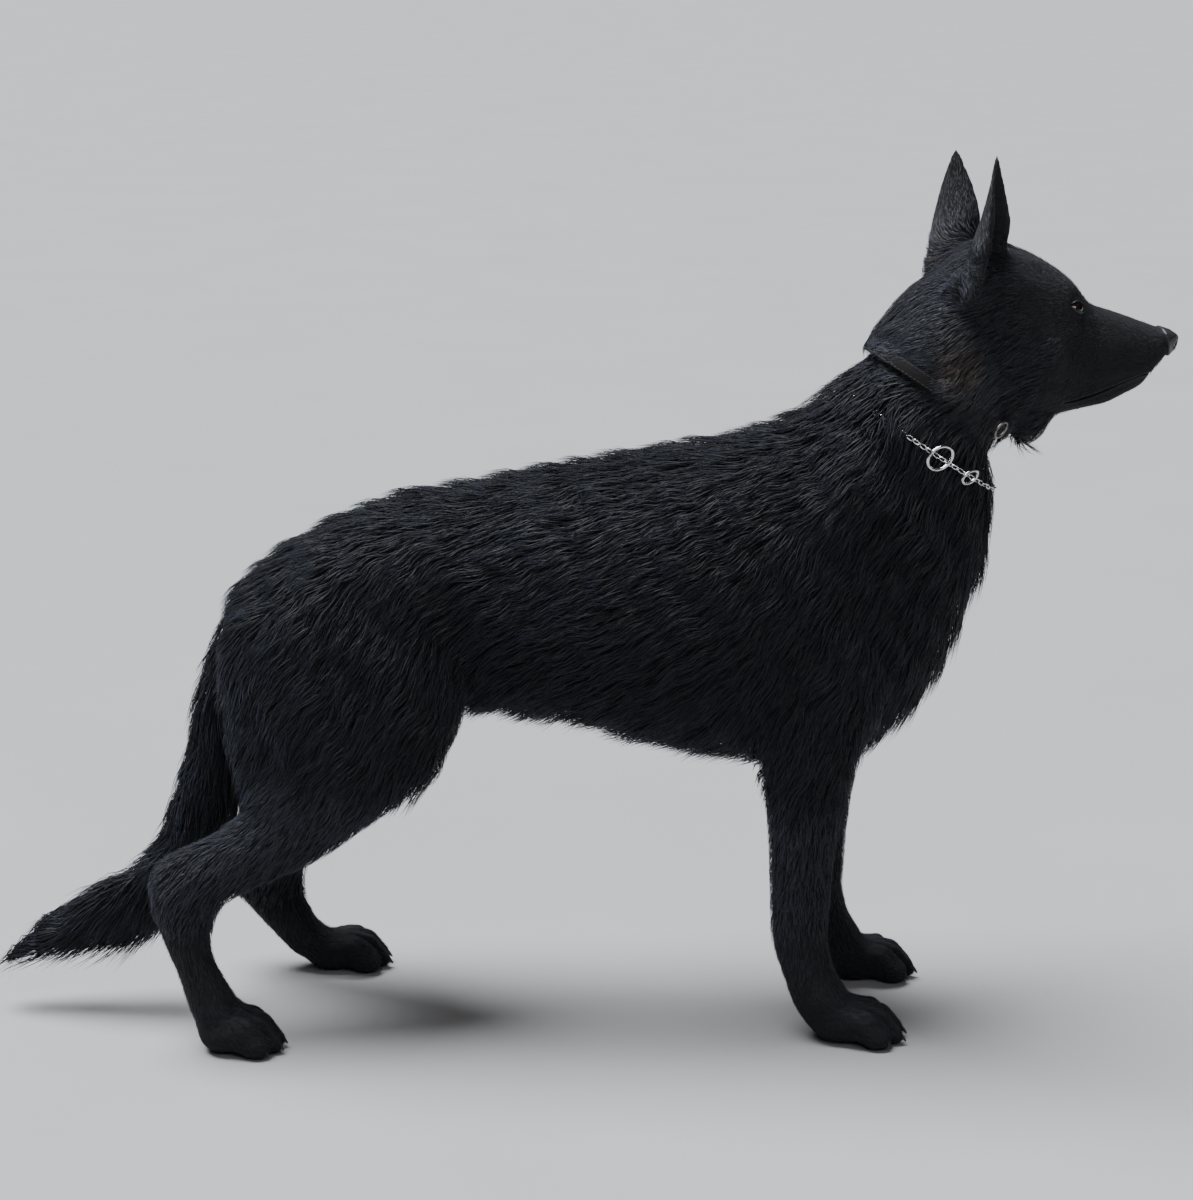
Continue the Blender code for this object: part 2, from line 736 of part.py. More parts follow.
class Girdle:
    """A closed line round the neck: where rays from the neck's middle leave the flesh, evened out."""

    def __init__(self, body, place, count):
        self.centre = NECK_PIVOT + NECK_AXIS * place + Vector((0.83, 0, -0.55)) * 0.018
        self.forward = Vector((0, 1, 0)).cross(NECK_AXIS).normalized()
        tree = BVHTree.FromObject(body, bpy.context.evaluated_depsgraph_get())
        self.spokes = []
        reaches = []
        for k in range(count):
            angle = math.tau * k / count
            spoke = self.forward * math.cos(angle) + Vector((0, 1, 0)) * math.sin(angle)
            hit = tree.ray_cast(self.centre + spoke * 0.3, -spoke)[0]
            self.spokes.append(spoke)
            reaches.append((hit - self.centre).length)
        for _ in range(3):
            reaches = [(reaches[k - 1] + 2 * reaches[k] + reaches[(k + 1) % count]) / 4 for k in range(count)]
        self.reaches = reaches

    def at(self, k, out=0.0, along=0.0):
        return self.centre + self.spokes[k] * (self.reaches[k] + out) + NECK_AXIS * along

    def fitting(self, share, out):
        """Centre and outward direction of something that lies on the line, at a share of its length."""
        low = int(share * len(self.spokes))
        rest = share * len(self.spokes) - low
        centre = self.at(low, out).lerp(self.at(low + 1, out), rest)
        return centre, self.spokes[low].lerp(self.spokes[low + 1], rest).normalized()

    def band(self, name, inner, outer, half_width, slot):
        """A flat hoop between two depths from the surface."""
        rings = []
        for k in range(len(self.spokes)):
            corners = ((inner, -half_width), (outer, -half_width), (outer, half_width), (inner, half_width))
            rings.append([self.at(k, out, along) for out, along in corners])
        return skin(name, rings, slot, closed=True)

    def rope(self, name, depth, radius, slot, pinch=1.0):
        """A round hoop; every second ring is pinched, so that it reads as links."""
        rings = []
        for k in range(len(self.spokes)):
            girth = radius * (pinch if k % 2 else 1.0)
            ring = []
            for j in range(6):
                angle = math.tau * j / 6
                ring.append(self.at(k, -depth + girth * math.cos(angle), girth * math.sin(angle)))
            rings.append(ring)
        return skin(name, rings, slot, closed=True)


def hoop(name, centre, normal, radius, wire, slot, around=11, stretch=1.0):
    """A round ring of wire lying across a direction."""
    normal = normal.normalized()
    first = normal.cross(Vector((0, 0, 1))).normalized()
    second = normal.cross(first)
    rings = []
    for k in range(around):
        angle = math.tau * k / around
        spoke = first * math.cos(angle) * stretch + second * math.sin(angle)
        out = spoke.normalized()
        hub = centre + spoke * radius
        ring = []
        for j in range(4):
            turn_of_wire = math.tau * j / 4
            ring.append(hub + (out * math.cos(turn_of_wire) + normal * math.sin(turn_of_wire)) * wire)
        rings.append(ring)
    return skin(name, rings, slot, closed=True)


# ---------------------------------------------------------------- the whole dog


def collars(body):
    """Carves a groove for each collar and lays the collars and their rings in place."""
    strap_line = Girdle(body, STRAP_PLACE, 24)
    chain_line = Girdle(body, CHAIN_PLACE, 28)
    half = STRAP_WIDTH / 2
    carve(body, strap_line.band("cutter", -STRAP_DEPTH - GAP, 0.008, half + GAP, "coat"))
    carve(body, chain_line.rope("cutter", 0.0015, CHAIN_RADIUS + GAP, "coat"))
    strap_line.band("collar_strap", -STRAP_DEPTH, STRAP_THICKNESS - STRAP_DEPTH, half, "strap")
    chain_line.rope("collar_chain", 0.0015, CHAIN_RADIUS, "steel", pinch=0.72)
    centre, out = chain_line.fitting(0.805, 0.0068)
    hoop("chain_ring", centre, out, RING_RADIUS, RING_WIRE, "steel")
    centre, out = chain_line.fitting(0.862, 0.0068)
    hoop("chain_end_ring", centre, out, 0.0070, RING_WIRE, "steel", stretch=1.25)
    centre, out = strap_line.fitting(0.875, 0.0075)
    hoop("collar_ring", centre, out, 0.0080, 0.0014, "steel")


def nose(head):
    """Parts the nose pad from the muzzle and opens its nostrils."""
    behind_pad = [(535, 740), (556, 690), (566, 660), (572, 600)]
    head, pad = part(head, sheet(behind_pad), ("head", "nose"), (1, 0, 0))
    for side in (-1, 1):
        carve(pad, egg("cutter", (574, side * 8.5, 680), (8, 4.0, 3.2), tilt=(0, 0, side * 35), fine=8))
    pad.data.materials.clear()
    pad.data.materials.append(material("nose"))
    return head, pad


def sockets(head):
    """Carves the two eye sockets and fills them with the eyes."""
    eyes = []
    for side, name in ((-1, "eye_right"), (1, "eye_left")):
        ball = eye(side)
        carve(head, swollen(ball, GAP))
        ball.name = name
        eyes.append(ball)
    return eyes


def volume(thing):
    bm = bmesh.new()
    bm.from_mesh(thing.data)
    size = bm.calc_volume(signed=False)
    bm.free()
    return size


def seat(thing, host, name):
    """Trims a thing so that it sits on its host with a hair of air between them."""
    slot = thing.data.materials[0]
    carve(thing, swollen(host, GAP))
    pieces = sorted(lumps(thing), key=volume)
    for spare in pieces[:-1]:
        bpy.data.objects.remove(spare)
    pieces[-1].name = name
    pieces[-1].data.materials.clear()
    pieces[-1].data.materials.append(slot)
    return pieces[-1]


def seated_parts(body):
    """Ears, tail and claws, each trimmed to the flesh it grows from."""
    for side, word in ((-1, "right"), (1, "left")):
        seat(ear(side), body, f"ear_{word}")
    for foot in FEET:
        for toe in TOES:
            seat(claw(foot, toe), body, f"claw_{foot}_{toe}")
    return seat(tail(), body, "tail")


def part_tail(brush):
    """The tail in four lengths."""
    brush, root = part(brush, sheet([(-460, 345), (-320, 335)]), ("tail", "tail_root"), (0, 0, 1))
    brush, upper = part(brush, sheet([(-490, 250), (-330, 215)]), ("tail", "tail_upper"), (0, 0, 1))
    part(brush, sheet([(-510, 190), (-495, 20)]), ("tail_tip", "tail_lower"), (1, 0, 0))


def part_foreleg(trunk, side, word, lead):
    """Cuts one foreleg off the trunk and into shoulder, forearm, pastern and paw."""
    near, far = sorted((side * 20, side * 180))
    whole = ((100, 400), (near, far))
    leg, trunk = part(trunk, level_sheet(252, *whole), ("leg", "trunk"), (0, 0, 1))
    trunk, _ = part(
        trunk,
        cup((228 + lead * 0.5, side * 98, 380), (96, 70, 170), (0, 0, 0)),
        ("trunk", f"shoulder_{word}"),
        (0, side, -0.3),
    )
    leg, _ = part(leg, level_sheet(112, *whole, tip=-4), ("leg", f"forearm_{word}"), (0, 0, 1))
    part(leg, level_sheet(47, *whole, tip=8), (f"forepaw_{word}", f"pastern_{word}"), (0, 0, 1))
    return trunk


def part_hindleg(trunk, side, word, knee, hock, ankle):
    """Cuts one hind leg off the trunk and into thigh, lower leg, rear pastern and paw."""
    left, right = side * 100 + 90, side * 100 - 90
    leg, trunk = part(trunk, sheet(knee, left, right), ("leg", "trunk"), (0, 0, 1))
    trunk, _ = part(
        trunk,
        cup((-250, side * 92, 370), (150, 78, 160), (0, 0, 0)),
        ("trunk", f"thigh_{word}"),
        (0, side, -0.3),
    )
    leg, _ = part(leg, sheet(hock, left, right), ("leg", f"lower_leg_{word}"), (0, 0, 1))
    part(leg, sheet(ankle, left, right), (f"hindpaw_{word}", f"rear_pastern_{word}"), (0, 0, 1))
    return trunk


def part_body(body):
    """The flesh in the pieces that a person would name."""
    slope = NECK_AXIS.z / NECK_AXIS.x
    strap = (NECK_PIVOT + NECK_AXIS * (STRAP_PLACE - 0.4 * STRAP_WIDTH)) / MM
    ends = [(x, strap.z - (x - strap.x) / slope) for x in (120, 500)]
    trunk, head = part(body, sheet(ends), ("trunk", "head"), (0, 0, 1))
    trunk, _ = part(trunk, sheet([(150, 690), (430, 400)]), ("trunk", "neck"), (0, 0, 1))
    trunk = part_foreleg(trunk, -1, "right", 0)
    trunk = part_foreleg(trunk, 1, "left", LEFT_FORE_LEAD / MM)
    trunk = part_hindleg(
        trunk, -1, "right", [(-100, 245), (-420, 300)], [(-330, 122), (-480, 165)], [(-310, 46), (-440, 46)]
    )
    trunk = part_hindleg(
        trunk, 1, "left", [(-100, 240), (-420, 285)], [(-270, 104), (-430, 92)], [(-250, 40), (-370, 44)]
    )
    rump, trunk = part(trunk, sheet([(-200, 700), (-200, 100)]), ("rump", "trunk"), (1, 0, 0))
    part(trunk, sheet([(-10, 700), (-10, 100)]), ("loin", "chest"), (1, 0, 0))
    sockets(head)
    head, _ = nose(head)
    part(head, sheet(MOUTH_LINE), ("lower_jaw", "head"), (-1, 0, 1))


def centre_on_floor():
    """Moves everything so that the origin is under the middle of the whole dog."""
    points = [v.co for thing in bpy.data.objects for v in thing.data.vertices]
    shift = Vector((0, 0, 0))
    for axis in (0, 1):
        shift[axis] = -(min(p[axis] for p in points) + max(p[axis] for p in points)) / 2
    for thing in bpy.data.objects:
        thing.data.transform(Matrix.Translation(shift))


clear_scene()
body = flesh()
collars(body)
brush = seated_parts(body)
part_tail(brush)
part_body(body)
for thing in bpy.data.objects:
    turn(thing)
centre_on_floor()
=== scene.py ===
"""The looks of a black shepherd dog, life size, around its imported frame.

One skin replaces the flesh, with lids, lips, nostrils and toes worked into it. The coat is tufts of
solid mesh that grow from that skin and follow the lie of the hair. Eyes, claws and collars are pieces
of their own. Metres, +Z up, the dog faces +X, and its right is -Y.
"""

import math

import bmesh
import bpy
import numpy as np
from bpy.props import FloatProperty, FloatVectorProperty, PointerProperty
from mathutils import Matrix, Vector
from mathutils.bvhtree import BVHTree
from mathutils.kdtree import KDTree


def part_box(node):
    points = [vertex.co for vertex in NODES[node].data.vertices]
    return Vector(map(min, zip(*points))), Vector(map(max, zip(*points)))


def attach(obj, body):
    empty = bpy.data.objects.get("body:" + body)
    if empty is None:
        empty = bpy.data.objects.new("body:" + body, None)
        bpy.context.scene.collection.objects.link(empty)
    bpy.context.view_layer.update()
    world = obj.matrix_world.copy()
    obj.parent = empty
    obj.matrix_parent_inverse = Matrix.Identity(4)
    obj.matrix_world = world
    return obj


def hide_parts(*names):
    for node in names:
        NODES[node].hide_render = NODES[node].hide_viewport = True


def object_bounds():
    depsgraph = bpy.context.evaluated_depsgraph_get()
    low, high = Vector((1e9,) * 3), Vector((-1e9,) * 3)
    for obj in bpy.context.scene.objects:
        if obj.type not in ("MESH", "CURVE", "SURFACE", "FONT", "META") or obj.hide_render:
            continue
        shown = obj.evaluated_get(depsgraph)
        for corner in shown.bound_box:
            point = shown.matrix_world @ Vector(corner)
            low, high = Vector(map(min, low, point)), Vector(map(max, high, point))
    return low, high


bl_info = {
    "name": "Shepherd dog",
    "version": (1, 0, 0),
    "blender": (4, 5, 0),
    "location": "3D View > Sidebar > Dog",
    "description": "Skin, coat, eyes, claws and collars of a standing black shepherd dog",
    "category": "Object",
}

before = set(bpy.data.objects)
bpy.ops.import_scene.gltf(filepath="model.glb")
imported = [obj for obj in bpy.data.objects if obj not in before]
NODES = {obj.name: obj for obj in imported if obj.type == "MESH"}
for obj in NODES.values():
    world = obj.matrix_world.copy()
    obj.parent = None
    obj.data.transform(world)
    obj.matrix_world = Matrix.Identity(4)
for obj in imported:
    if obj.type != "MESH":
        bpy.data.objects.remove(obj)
CAD_BOX = [list(corner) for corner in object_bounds()]
MM = 0.001


def both_sides(*parts):
    """The names of some parts' nodes, each on the right and on the left."""
    return tuple(f"{part}_{side}" for part in parts for side in ("right", "left"))


EYES = both_sides("eye")
FEET = both_sides("forepaw", "hindpaw")
COLLARS = ("collar_strap", "collar_ring", "collar_chain", "chain_ring", "chain_end_ring")
CLAWS = [name for name in NODES if name.startswith("claw_")]
FLESH = [name for name in NODES if name not in EYES + COLLARS and name not in CLAWS]


# ---------------------------------------------------------------- the head's own frame


def node_middle(name):
    """The middle of a frame node's box."""
    low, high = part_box(name)
    return (low + high) / 2


class HeadFrame:
    """The head's own axes, in millimetres: x ahead, y to the left and z up, with the eyes at EYE_PLACE.
    The head looks a little to the left, so these are turned from the dog's axes."""

    EYE_PLACE = (455.5, 0.0, 719.0)

    def __init__(self):
        right, left = (node_middle(name) for name in EYES)
        self.left = (left - right).normalized()
        self.ahead = self.left.cross(Vector((0, 0, 1))).normalized()
        self.axes = np.array([self.ahead, self.left, (0, 0, 1)])
        self.start = np.array((right + left) / 2) - np.array(self.EYE_PLACE) @ self.axes * MM

    def out_of(self, places):
        """Places in the row frame, in metres, as the head's own millimetres."""
        return (np.asarray(places) - self.start) @ self.axes.T / MM

    def into(self, places):
        """The head's own millimetres as places in the row frame, in metres."""
        return self.start + np.asarray(places, float) @ self.axes * MM

    def way(self, direction):
        """A direction in the head's own axes as one in the row frame."""
        return np.asarray(direction, float) @ self.axes


HEAD = HeadFrame()

# ---------------------------------------------------------------- how the coat lies

# For each part: the way its hair lies (x, out from the middle plane, z), hair length and coat depth in
# millimetres, tufts to a square centimetre, and tuft width in millimetres.
COAT = {
    "head": ((-1.0, 0.0, -0.05), 9.0, 2.2, 34, 0.68),
    "lower_jaw": ((-1.0, 0.0, -0.10), 6.0, 1.2, 34, 0.61),
    "nose": ((-1.0, 0.0, 0.00), 1.0, 0.2, 0, 0.36),
    "ear": ((0.02, 0.05, 0.72), 8.0, 0.7, 30, 0.65),
    "neck": ((-0.50, 0.0, -0.86), 50.0, 15.0, 9.6, 1.51),
    "chest": ((-1.0, 0.0, -0.42), 38.0, 12.5, 9.6, 1.44),
    "loin": ((-1.0, 0.0, -0.36), 36.0, 12.0, 9.6, 1.44),
    "rump": ((-1.0, 0.0, -0.42), 38.0, 12.0, 9.6, 1.44),
    "shoulder": ((-0.40, 0.0, -0.92), 32.0, 9.5, 9.5, 1.30),
    "forearm": ((-0.10, 0.0, -1.0), 15.0, 3.6, 16, 0.94),
    "pastern": ((0.10, 0.0, -1.0), 9.0, 2.0, 22, 0.79),
    "forepaw": ((0.85, 0.0, -0.55), 7.5, 1.6, 36, 0.68),
    "thigh": ((-0.55, 0.0, -0.84), 38.0, 11.0, 9.0, 1.44),
    "lower_leg": ((-0.66, 0.0, -0.75), 22.0, 5.5, 13, 1.08),
    "rear_pastern": ((0.20, 0.0, -1.0), 10.0, 2.2, 20, 0.79),
    "hindpaw": ((0.85, 0.0, -0.55), 7.5, 1.6, 36, 0.68),
    "tail_root": ((-0.35, 0.0, -0.94), 55.0, 12.0, 10, 1.51),
    "tail_upper": ((-0.16, 0.0, -0.99), 60.0, 13.0, 10, 1.51),
    "tail_lower": ((-0.55, 0.0, -0.84), 62.0, 13.0, 10, 1.51),
    "tail_tip": ((-0.96, 0.0, -0.28), 60.0, 11.0, 11, 1.44),
}
# What the skin's vertices keep the four numbers after the lie under.
COAT_FIELDS = ("length", "depth", "density", "width")

# Places on the head where the lie changes: centre (x, out, z) and reach in the head's own millimetres,
# then the lie, hair length, coat depth and tuft width as above.
HEAD_SPOTS = {
    "bridge": ((520, 0, 712), 34, (-1.0, 0.0, 0.15), 4.5, 0.9, 0.58),
    "lips": ((515, 26, 668), 30, (-1.0, 0.1, -0.2), 5.0, 1.0, 0.58),
    "nape": ((290, 22, 722), 38, (-0.8, 0.05, -0.6), 34.0, 9.0, 0.95),
    "forehead": ((438, 0, 768), 30, (-0.9, 0.15, 0.3), 9.0, 2.0, 0.68),
    "crown": ((385, 0, 787), 30, (-1.0, 0.2, -0.05), 16.0, 4.0, 0.86),
    "cheek": ((428, 54, 688), 30, (-0.9, 0.15, -0.35), 13.0, 3.4, 0.79),
    "ruff": ((368, 62, 655), 40, (-0.55, 0.12, -0.82), 44.0, 11.0, 1.37),
    "throat": ((414, 0, 600), 34, (-0.75, 0.0, -0.60), 40.0, 8.0, 1.30),
    "ear_root": ((365, 50, 747), 28, (-0.65, 0.15, -0.40), 30.0, 6.0, 0.90),
    "ear_back": ((338, 40, 762), 24, (-0.75, 0.10, 0.35), 28.0, 5.0, 0.95),
    "behind_cheek": ((346, 58, 708), 32, (-0.75, 0.12, -0.60), 30.0, 7.0, 0.95),
    "eye_rim": ((462, 38, 722), 13, (-1.0, 0.2, 0.15), 3.6, 0.7, 0.50),
}
EAR_SPOTS = {
    "ear_base": ((364, 50, 756), 36, (-0.55, 0.25, -0.20), 22.0, 2.4, 0.85),
}
# Tufts to a square centimetre at those places, by hair length in millimetres.
DENSITY_BY_LENGTH = ((9, 20, 40), (34, 18, 10))
# The same as HEAD_SPOTS for the trunk, in the row frame's millimetres.
BODY_SPOTS = {
    "breastbone": ((335, 0, 430), 75, (-0.18, 0.0, -0.98), 52.0, 14.0, 1.51),
    "belly": ((60, 0, 285), 70, (-0.80, 0.0, -0.60), 46.0, 13.0, 1.44),
    "flank_fold": ((-150, 60, 315), 50, (-0.75, 0.0, -0.66), 34.0, 6.0, 1.44),
    "breeches": ((-345, 70, 330), 70, (-0.40, 0.1, -0.92), 54.0, 14.0, 1.51),
    "elbow": ((180, 82, 270), 34, (-0.45, 0.0, -0.89), 26.0, 6.0, 1.15),
}

# The coat's pieces: which parts' tufts each one holds.
COAT_PIECES = {
    "coat_face": ("head", "lower_jaw"),
    "coat_ears": both_sides("ear"),
    "coat_neck": ("neck",),
    "coat_chest": ("chest",),
    "coat_flank": ("loin", "rump"),
    "coat_shoulders": both_sides("shoulder"),
    "coat_thighs": both_sides("thigh"),
    "coat_tail": ("tail_root", "tail_upper", "tail_lower", "tail_tip"),
    "coat_forelegs": both_sides("forearm", "pastern", "forepaw"),
    "coat_hind_legs": both_sides("lower_leg", "rear_pastern", "hindpaw"),
}


def kind_of(node):
    """The COAT entry of a node: its name without its side."""
    return node.replace("_right", "").replace("_left", "")


# ---------------------------------------------------------------- the user's settings


class CoatSettings(bpy.types.PropertyGroup):
    """How long, dense and unruly the coat is, and its colours"""

    length: FloatProperty(
        name="Hair length",
        description="Share of the full hair length",
        default=1.0,
    )
    density: FloatProperty(
        name="Density",
        description="Share of the full number of tufts",
        default=0.955,
    )
    stray: FloatProperty(
        name="Stray",
        description="How far single tufts turn from the lie",
        default=math.radians(7),
        subtype="ANGLE",
    )
    swirl: FloatProperty(
        name="Swirl",
        description="How far whole locks turn from the lie",
        default=math.radians(13),
        subtype="ANGLE",
    )
    gather: FloatProperty(
        name="Gather",
        description="How far tips draw together into locks",
        default=0.34,
    )
    ripple: FloatProperty(
        name="Ripple",
        description="How strongly the back's coat stands in waves",
        default=0.26,
    )
    wave: FloatProperty(
        name="Wave",
        description="How far hair bends to and fro",
        default=0.0013,
        unit="LENGTH",
    )
    # Painted shade: the colour that roots and lower-lying tufts take where the coat shades itself.
    dark: FloatVectorProperty(
        name="Painted shade colour",
        description="Painted shade deep in the coat",
        default=(0.0006, 0.0006, 0.0007),
        subtype="COLOR",
    )
    light: FloatVectorProperty(
        name="Top colour",
        description="Colour of the outer hair",
        default=(0.0046, 0.0047, 0.0056),
        subtype="COLOR",
    )
    # The short hair's colour is lifted here as a painted sheen, a matte stand-in for a glossy bloom on
    # face, ears, legs and skin.
    sleek: FloatVectorProperty(
        name="Short hair",
        description="Colour of the short hair, lifted as a painted sheen",
        default=(0.0100, 0.0101, 0.0116),
        subtype="COLOR",
    )
    brown: FloatVectorProperty(
        name="Brown tint",
        description="Sun-faded hair of the ruff",
        default=(0.046, 0.026, 0.014),
        subtype="COLOR",
    )


class SkinSettings(bpy.types.PropertyGroup):
    """The skin's thickness, fineness and colours"""

    voxel: FloatProperty(
        name="Grain",
        description="Size of the remesh",
        default=0.0022,
        unit="LENGTH",
    )
    lid: FloatProperty(
        name="Lid",
        description="Thickness of the eyelids",
        default=0.0014,
        unit="LENGTH",
    )
    lip_groove: FloatProperty(
        name="Lip line",
        description="Depth of the closed lips",
        default=0.0026,
        unit="LENGTH",
    )
    hide: FloatVectorProperty(
        name="Hide",
        description="Colour of the skin under the coat",
        default=(0.0034, 0.0032, 0.0034),
        subtype="COLOR",
    )
    nose: FloatVectorProperty(
        name="Nose",
        description="Colour of the nose pad",
        default=(0.017, 0.017, 0.019),
        subtype="COLOR",
    )


class EyeSettings(bpy.types.PropertyGroup):
    """The eyeballs and the opening of their lids"""

    radius: FloatProperty(
        name="Radius",
        description="Radius of the eyeball",
        default=0.0110,
        unit="LENGTH",
    )
    slit_length: FloatProperty(
        name="Opening",
        description="Length of the lid opening",
        default=0.0208,
        unit="LENGTH",
    )
    slit_height: FloatProperty(
        name="Height",
        description="Height of the lid opening",
        default=0.0088,
        unit="LENGTH",
    )
    iris: FloatVectorProperty(
        name="Iris",
        description="Colour of the iris",
        default=(0.014, 0.006, 0.003),
        subtype="COLOR",
    )


class CollarSettings(bpy.types.PropertyGroup):
    """The chain's links and the strap's stitches"""

    wire: FloatProperty(
        name="Wire",
        description="Radius of the chain's wire",
        default=0.00085,
        unit="LENGTH",
    )
    link_length: FloatProperty(
        name="Link",
        description="Outer length of a link",
        default=0.0098,
        unit="LENGTH",
    )
    link_width: FloatProperty(
        name="Link width",
        description="Outer width of a link",
        default=0.0062,
        unit="LENGTH",
    )
    stitch_pitch: FloatProperty(
        name="Stitch",
        description="Length of a stitch",
        default=0.0046,
        unit="LENGTH",
    )


class StudioSettings(bpy.types.PropertyGroup):
    """Where the camera stands and its lens"""

    distance: FloatProperty(
        name="Distance",
        description="Camera to the dog's middle",
        default=2.785,
        unit="LENGTH",
    )
    height: FloatProperty(
        name="Height",
        description="Camera above the floor",
        default=1.13,
        unit="LENGTH",
    )
    down: FloatProperty(
        name="Down",
        description="How far the camera looks down",
        default=math.radians(14.12),
        subtype="ANGLE",
    )
    lens: FloatProperty(name="Lens", description="Focal length in millimetres", default=87.0)


SETTINGS = {
    "dog_coat": CoatSettings,
    "dog_skin": SkinSettings,
    "dog_eyes": EyeSettings,
    "dog_collars": CollarSettings,
    "dog_studio": StudioSettings,
}

# ---------------------------------------------------------------- arrays and meshes

WELD = 0.00001  # corners of a frame node closer than this are one


def read(items, name, width, kind=np.float32):
    """One value or vector of each item, as an array."""
    values = np.empty(len(items) * width, kind)
    items.foreach_get(name, values)
    return values.reshape(-1, width) if width > 1 else values


def places_of(mesh):
    """The places of a mesh's vertices, in metres."""
    return read(mesh.vertices, "co", 3).astype(float)


def place(mesh, places):
    """Moves a mesh's vertices to places."""
    mesh.vertices.foreach_set("co", np.asarray(places, np.float32).ravel())
    mesh.update()


def normals_of(mesh):
    """The ways out of a mesh at its vertices."""
    return read(mesh.vertices, "normal", 3).astype(float)


def unit(vectors):
    """Vectors brought to a length of 1."""
    return vectors / np.maximum(np.linalg.norm(vectors, axis=-1, keepdims=True), 1e-12)


def across(vectors, normals):
    """What is left of vectors once their share along the normals is taken off."""
    return vectors - normals * (vectors * normals).sum(-1, keepdims=True)


def lengths(vectors):
    """How long each vector is."""
    return np.linalg.norm(vectors, axis=-1)


def ease(t):
    """From 0 to 1 as t goes from 0 to 1, slowly at both ends."""
    t = np.clip(t, 0.0, 1.0)
    return t * t * (3 - 2 * t)


def ramp(values, start, run):
    """0 up to start and 1 from a run beyond it. A negative run rises the other way."""
    return ease((values - start) / run)


def bell(values):
    """1 at nothing, falling away on both sides."""
    return np.exp(-(values**2))


def main_axes(places):
    """The ways in which places spread, as columns, from the thinnest to the longest."""
    return np.linalg.eigh(np.cov((places - places.mean(0)).T))[1]


def spread(values, edges, rounds, share=0.5, back=0.0):
    """Evens values out between neighbours. back takes each round's shrinking out again."""
    a, b = edges.T
    count = len(values)
    flat = values.reshape(count, -1).astype(float)
    ties = np.maximum(np.bincount(a, minlength=count) + np.bincount(b, minlength=count), 1)
    for step in range(rounds):
        near = np.empty_like(flat)
        for k in range(flat.shape[1]):
            near[:, k] = np.bincount(a, flat[b, k], count) + np.bincount(b, flat[a, k], count)
        pull = -back if back and step % 2 else share
        flat = flat + (near / ties[:, None] - flat) * pull
    return flat.reshape(values.shape)


def even(places, edges, rounds):
    """Smooths a shape and gives back most of the size that smoothing takes."""
    once_over = spread(places, edges, rounds)
    return once_over + spread(places - once_over, edges, rounds)


def edges_of(mesh):
    """The pairs of vertices that a mesh's edges join."""
    return read(mesh.edges, "vertices", 2, np.int32)


def new_object(name, mesh, mat):
    """An object in the scene, smooth and in one material."""
    made = bpy.data.objects.new(name, mesh)
    bpy.context.scene.collection.objects.link(made)
    mesh.materials.clear()
    mesh.materials.append(mat)
    mesh.shade_smooth()
    return made


def mesh_from(bm, name):
    """A mesh from a bmesh, which is freed."""
    mesh = bpy.data.meshes.new(name)
    bm.to_mesh(mesh)
    bm.free()
    return mesh


def join_to(whole, bm):
    """Adds one bmesh to another and frees it."""
    part = mesh_from(bm, "part")
    whole.from_mesh(part)
    bpy.data.meshes.remove(part)


def in_fixed_order(bm):
    """The same bmesh with its faces in the same order each run, because a new sphere's are in any order."""
    bm.verts.index_update()
    faces = [[v.index for v in face.verts] for face in bm.faces]
    fixed = bmesh.new()
    corners = [fixed.verts.new(v.co) for v in bm.verts]
    for numbers in sorted(faces, key=sorted):
        fixed.faces.new([corners[k] for k in numbers])
    bm.free()
    return fixed


def settle(thing):
    """Turns an object's modifiers into its mesh."""
    graph = bpy.context.evaluated_depsgraph_get()
    mesh = bpy.data.meshes.new_from_object(thing.evaluated_get(graph))
    thing.modifiers.clear()
    thing.data = mesh
    return mesh


def merged(node, grow=0.0):
    """A bmesh of a frame node with its loose triangles merged, grown outwards by a little."""
    bm = bmesh.new()
    bm.from_mesh(NODES[node].data)
    bmesh.ops.remove_doubles(bm, verts=bm.verts, dist=WELD)
    bm.normal_update()
    for vertex, out in [(v, v.normal.copy()) for v in bm.verts]:
        vertex.co += out * grow
    return bm


def corners_of(node):
    """The corners of a frame node's mesh, each once."""
    bm = merged(node)
    places = np.array([v.co for v in bm.verts])
    bm.free()
    return places


def store(mesh, name, kind, values):
    """Keeps a value or vector for each vertex under a name."""
    found = mesh.attributes.get(name) or mesh.attributes.new(name, kind, "POINT")
    key = "vector" if kind == "FLOAT_VECTOR" else "value"
    found.data.foreach_set(key, np.asarray(values, np.float32 if kind != "INT" else np.int32).ravel())


def recall(mesh, name, width=1):
    """What store kept under a name."""
    kind = mesh.attributes[name].data_type
    key = "vector" if kind == "FLOAT_VECTOR" else "value"
    return read(mesh.attributes[name].data, key, width, np.int32 if kind == "INT" else np.float32)


def finished(thing, slot, *nodes):
    """Rides on the body and stands for its nodes, which it hides. The slot is not used."""
    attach(thing, "root")
    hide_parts(*nodes)


# ---------------------------------------------------------------- materials


def group(name, inputs, outputs):
    """An empty shader group with its named sockets, and its input and output nodes."""
    tree = bpy.data.node_groups.new(name, "ShaderNodeTree")
    for label, kind, default in inputs:
        socket = tree.interface.new_socket(label, in_out="INPUT", socket_type=kind)
        socket.default_value = default
    for label, kind in outputs:
        tree.interface.new_socket(label, in_out="OUTPUT", socket_type=kind)
    return tree, tree.nodes.new("NodeGroupInput"), tree.nodes.new("NodeGroupOutput")


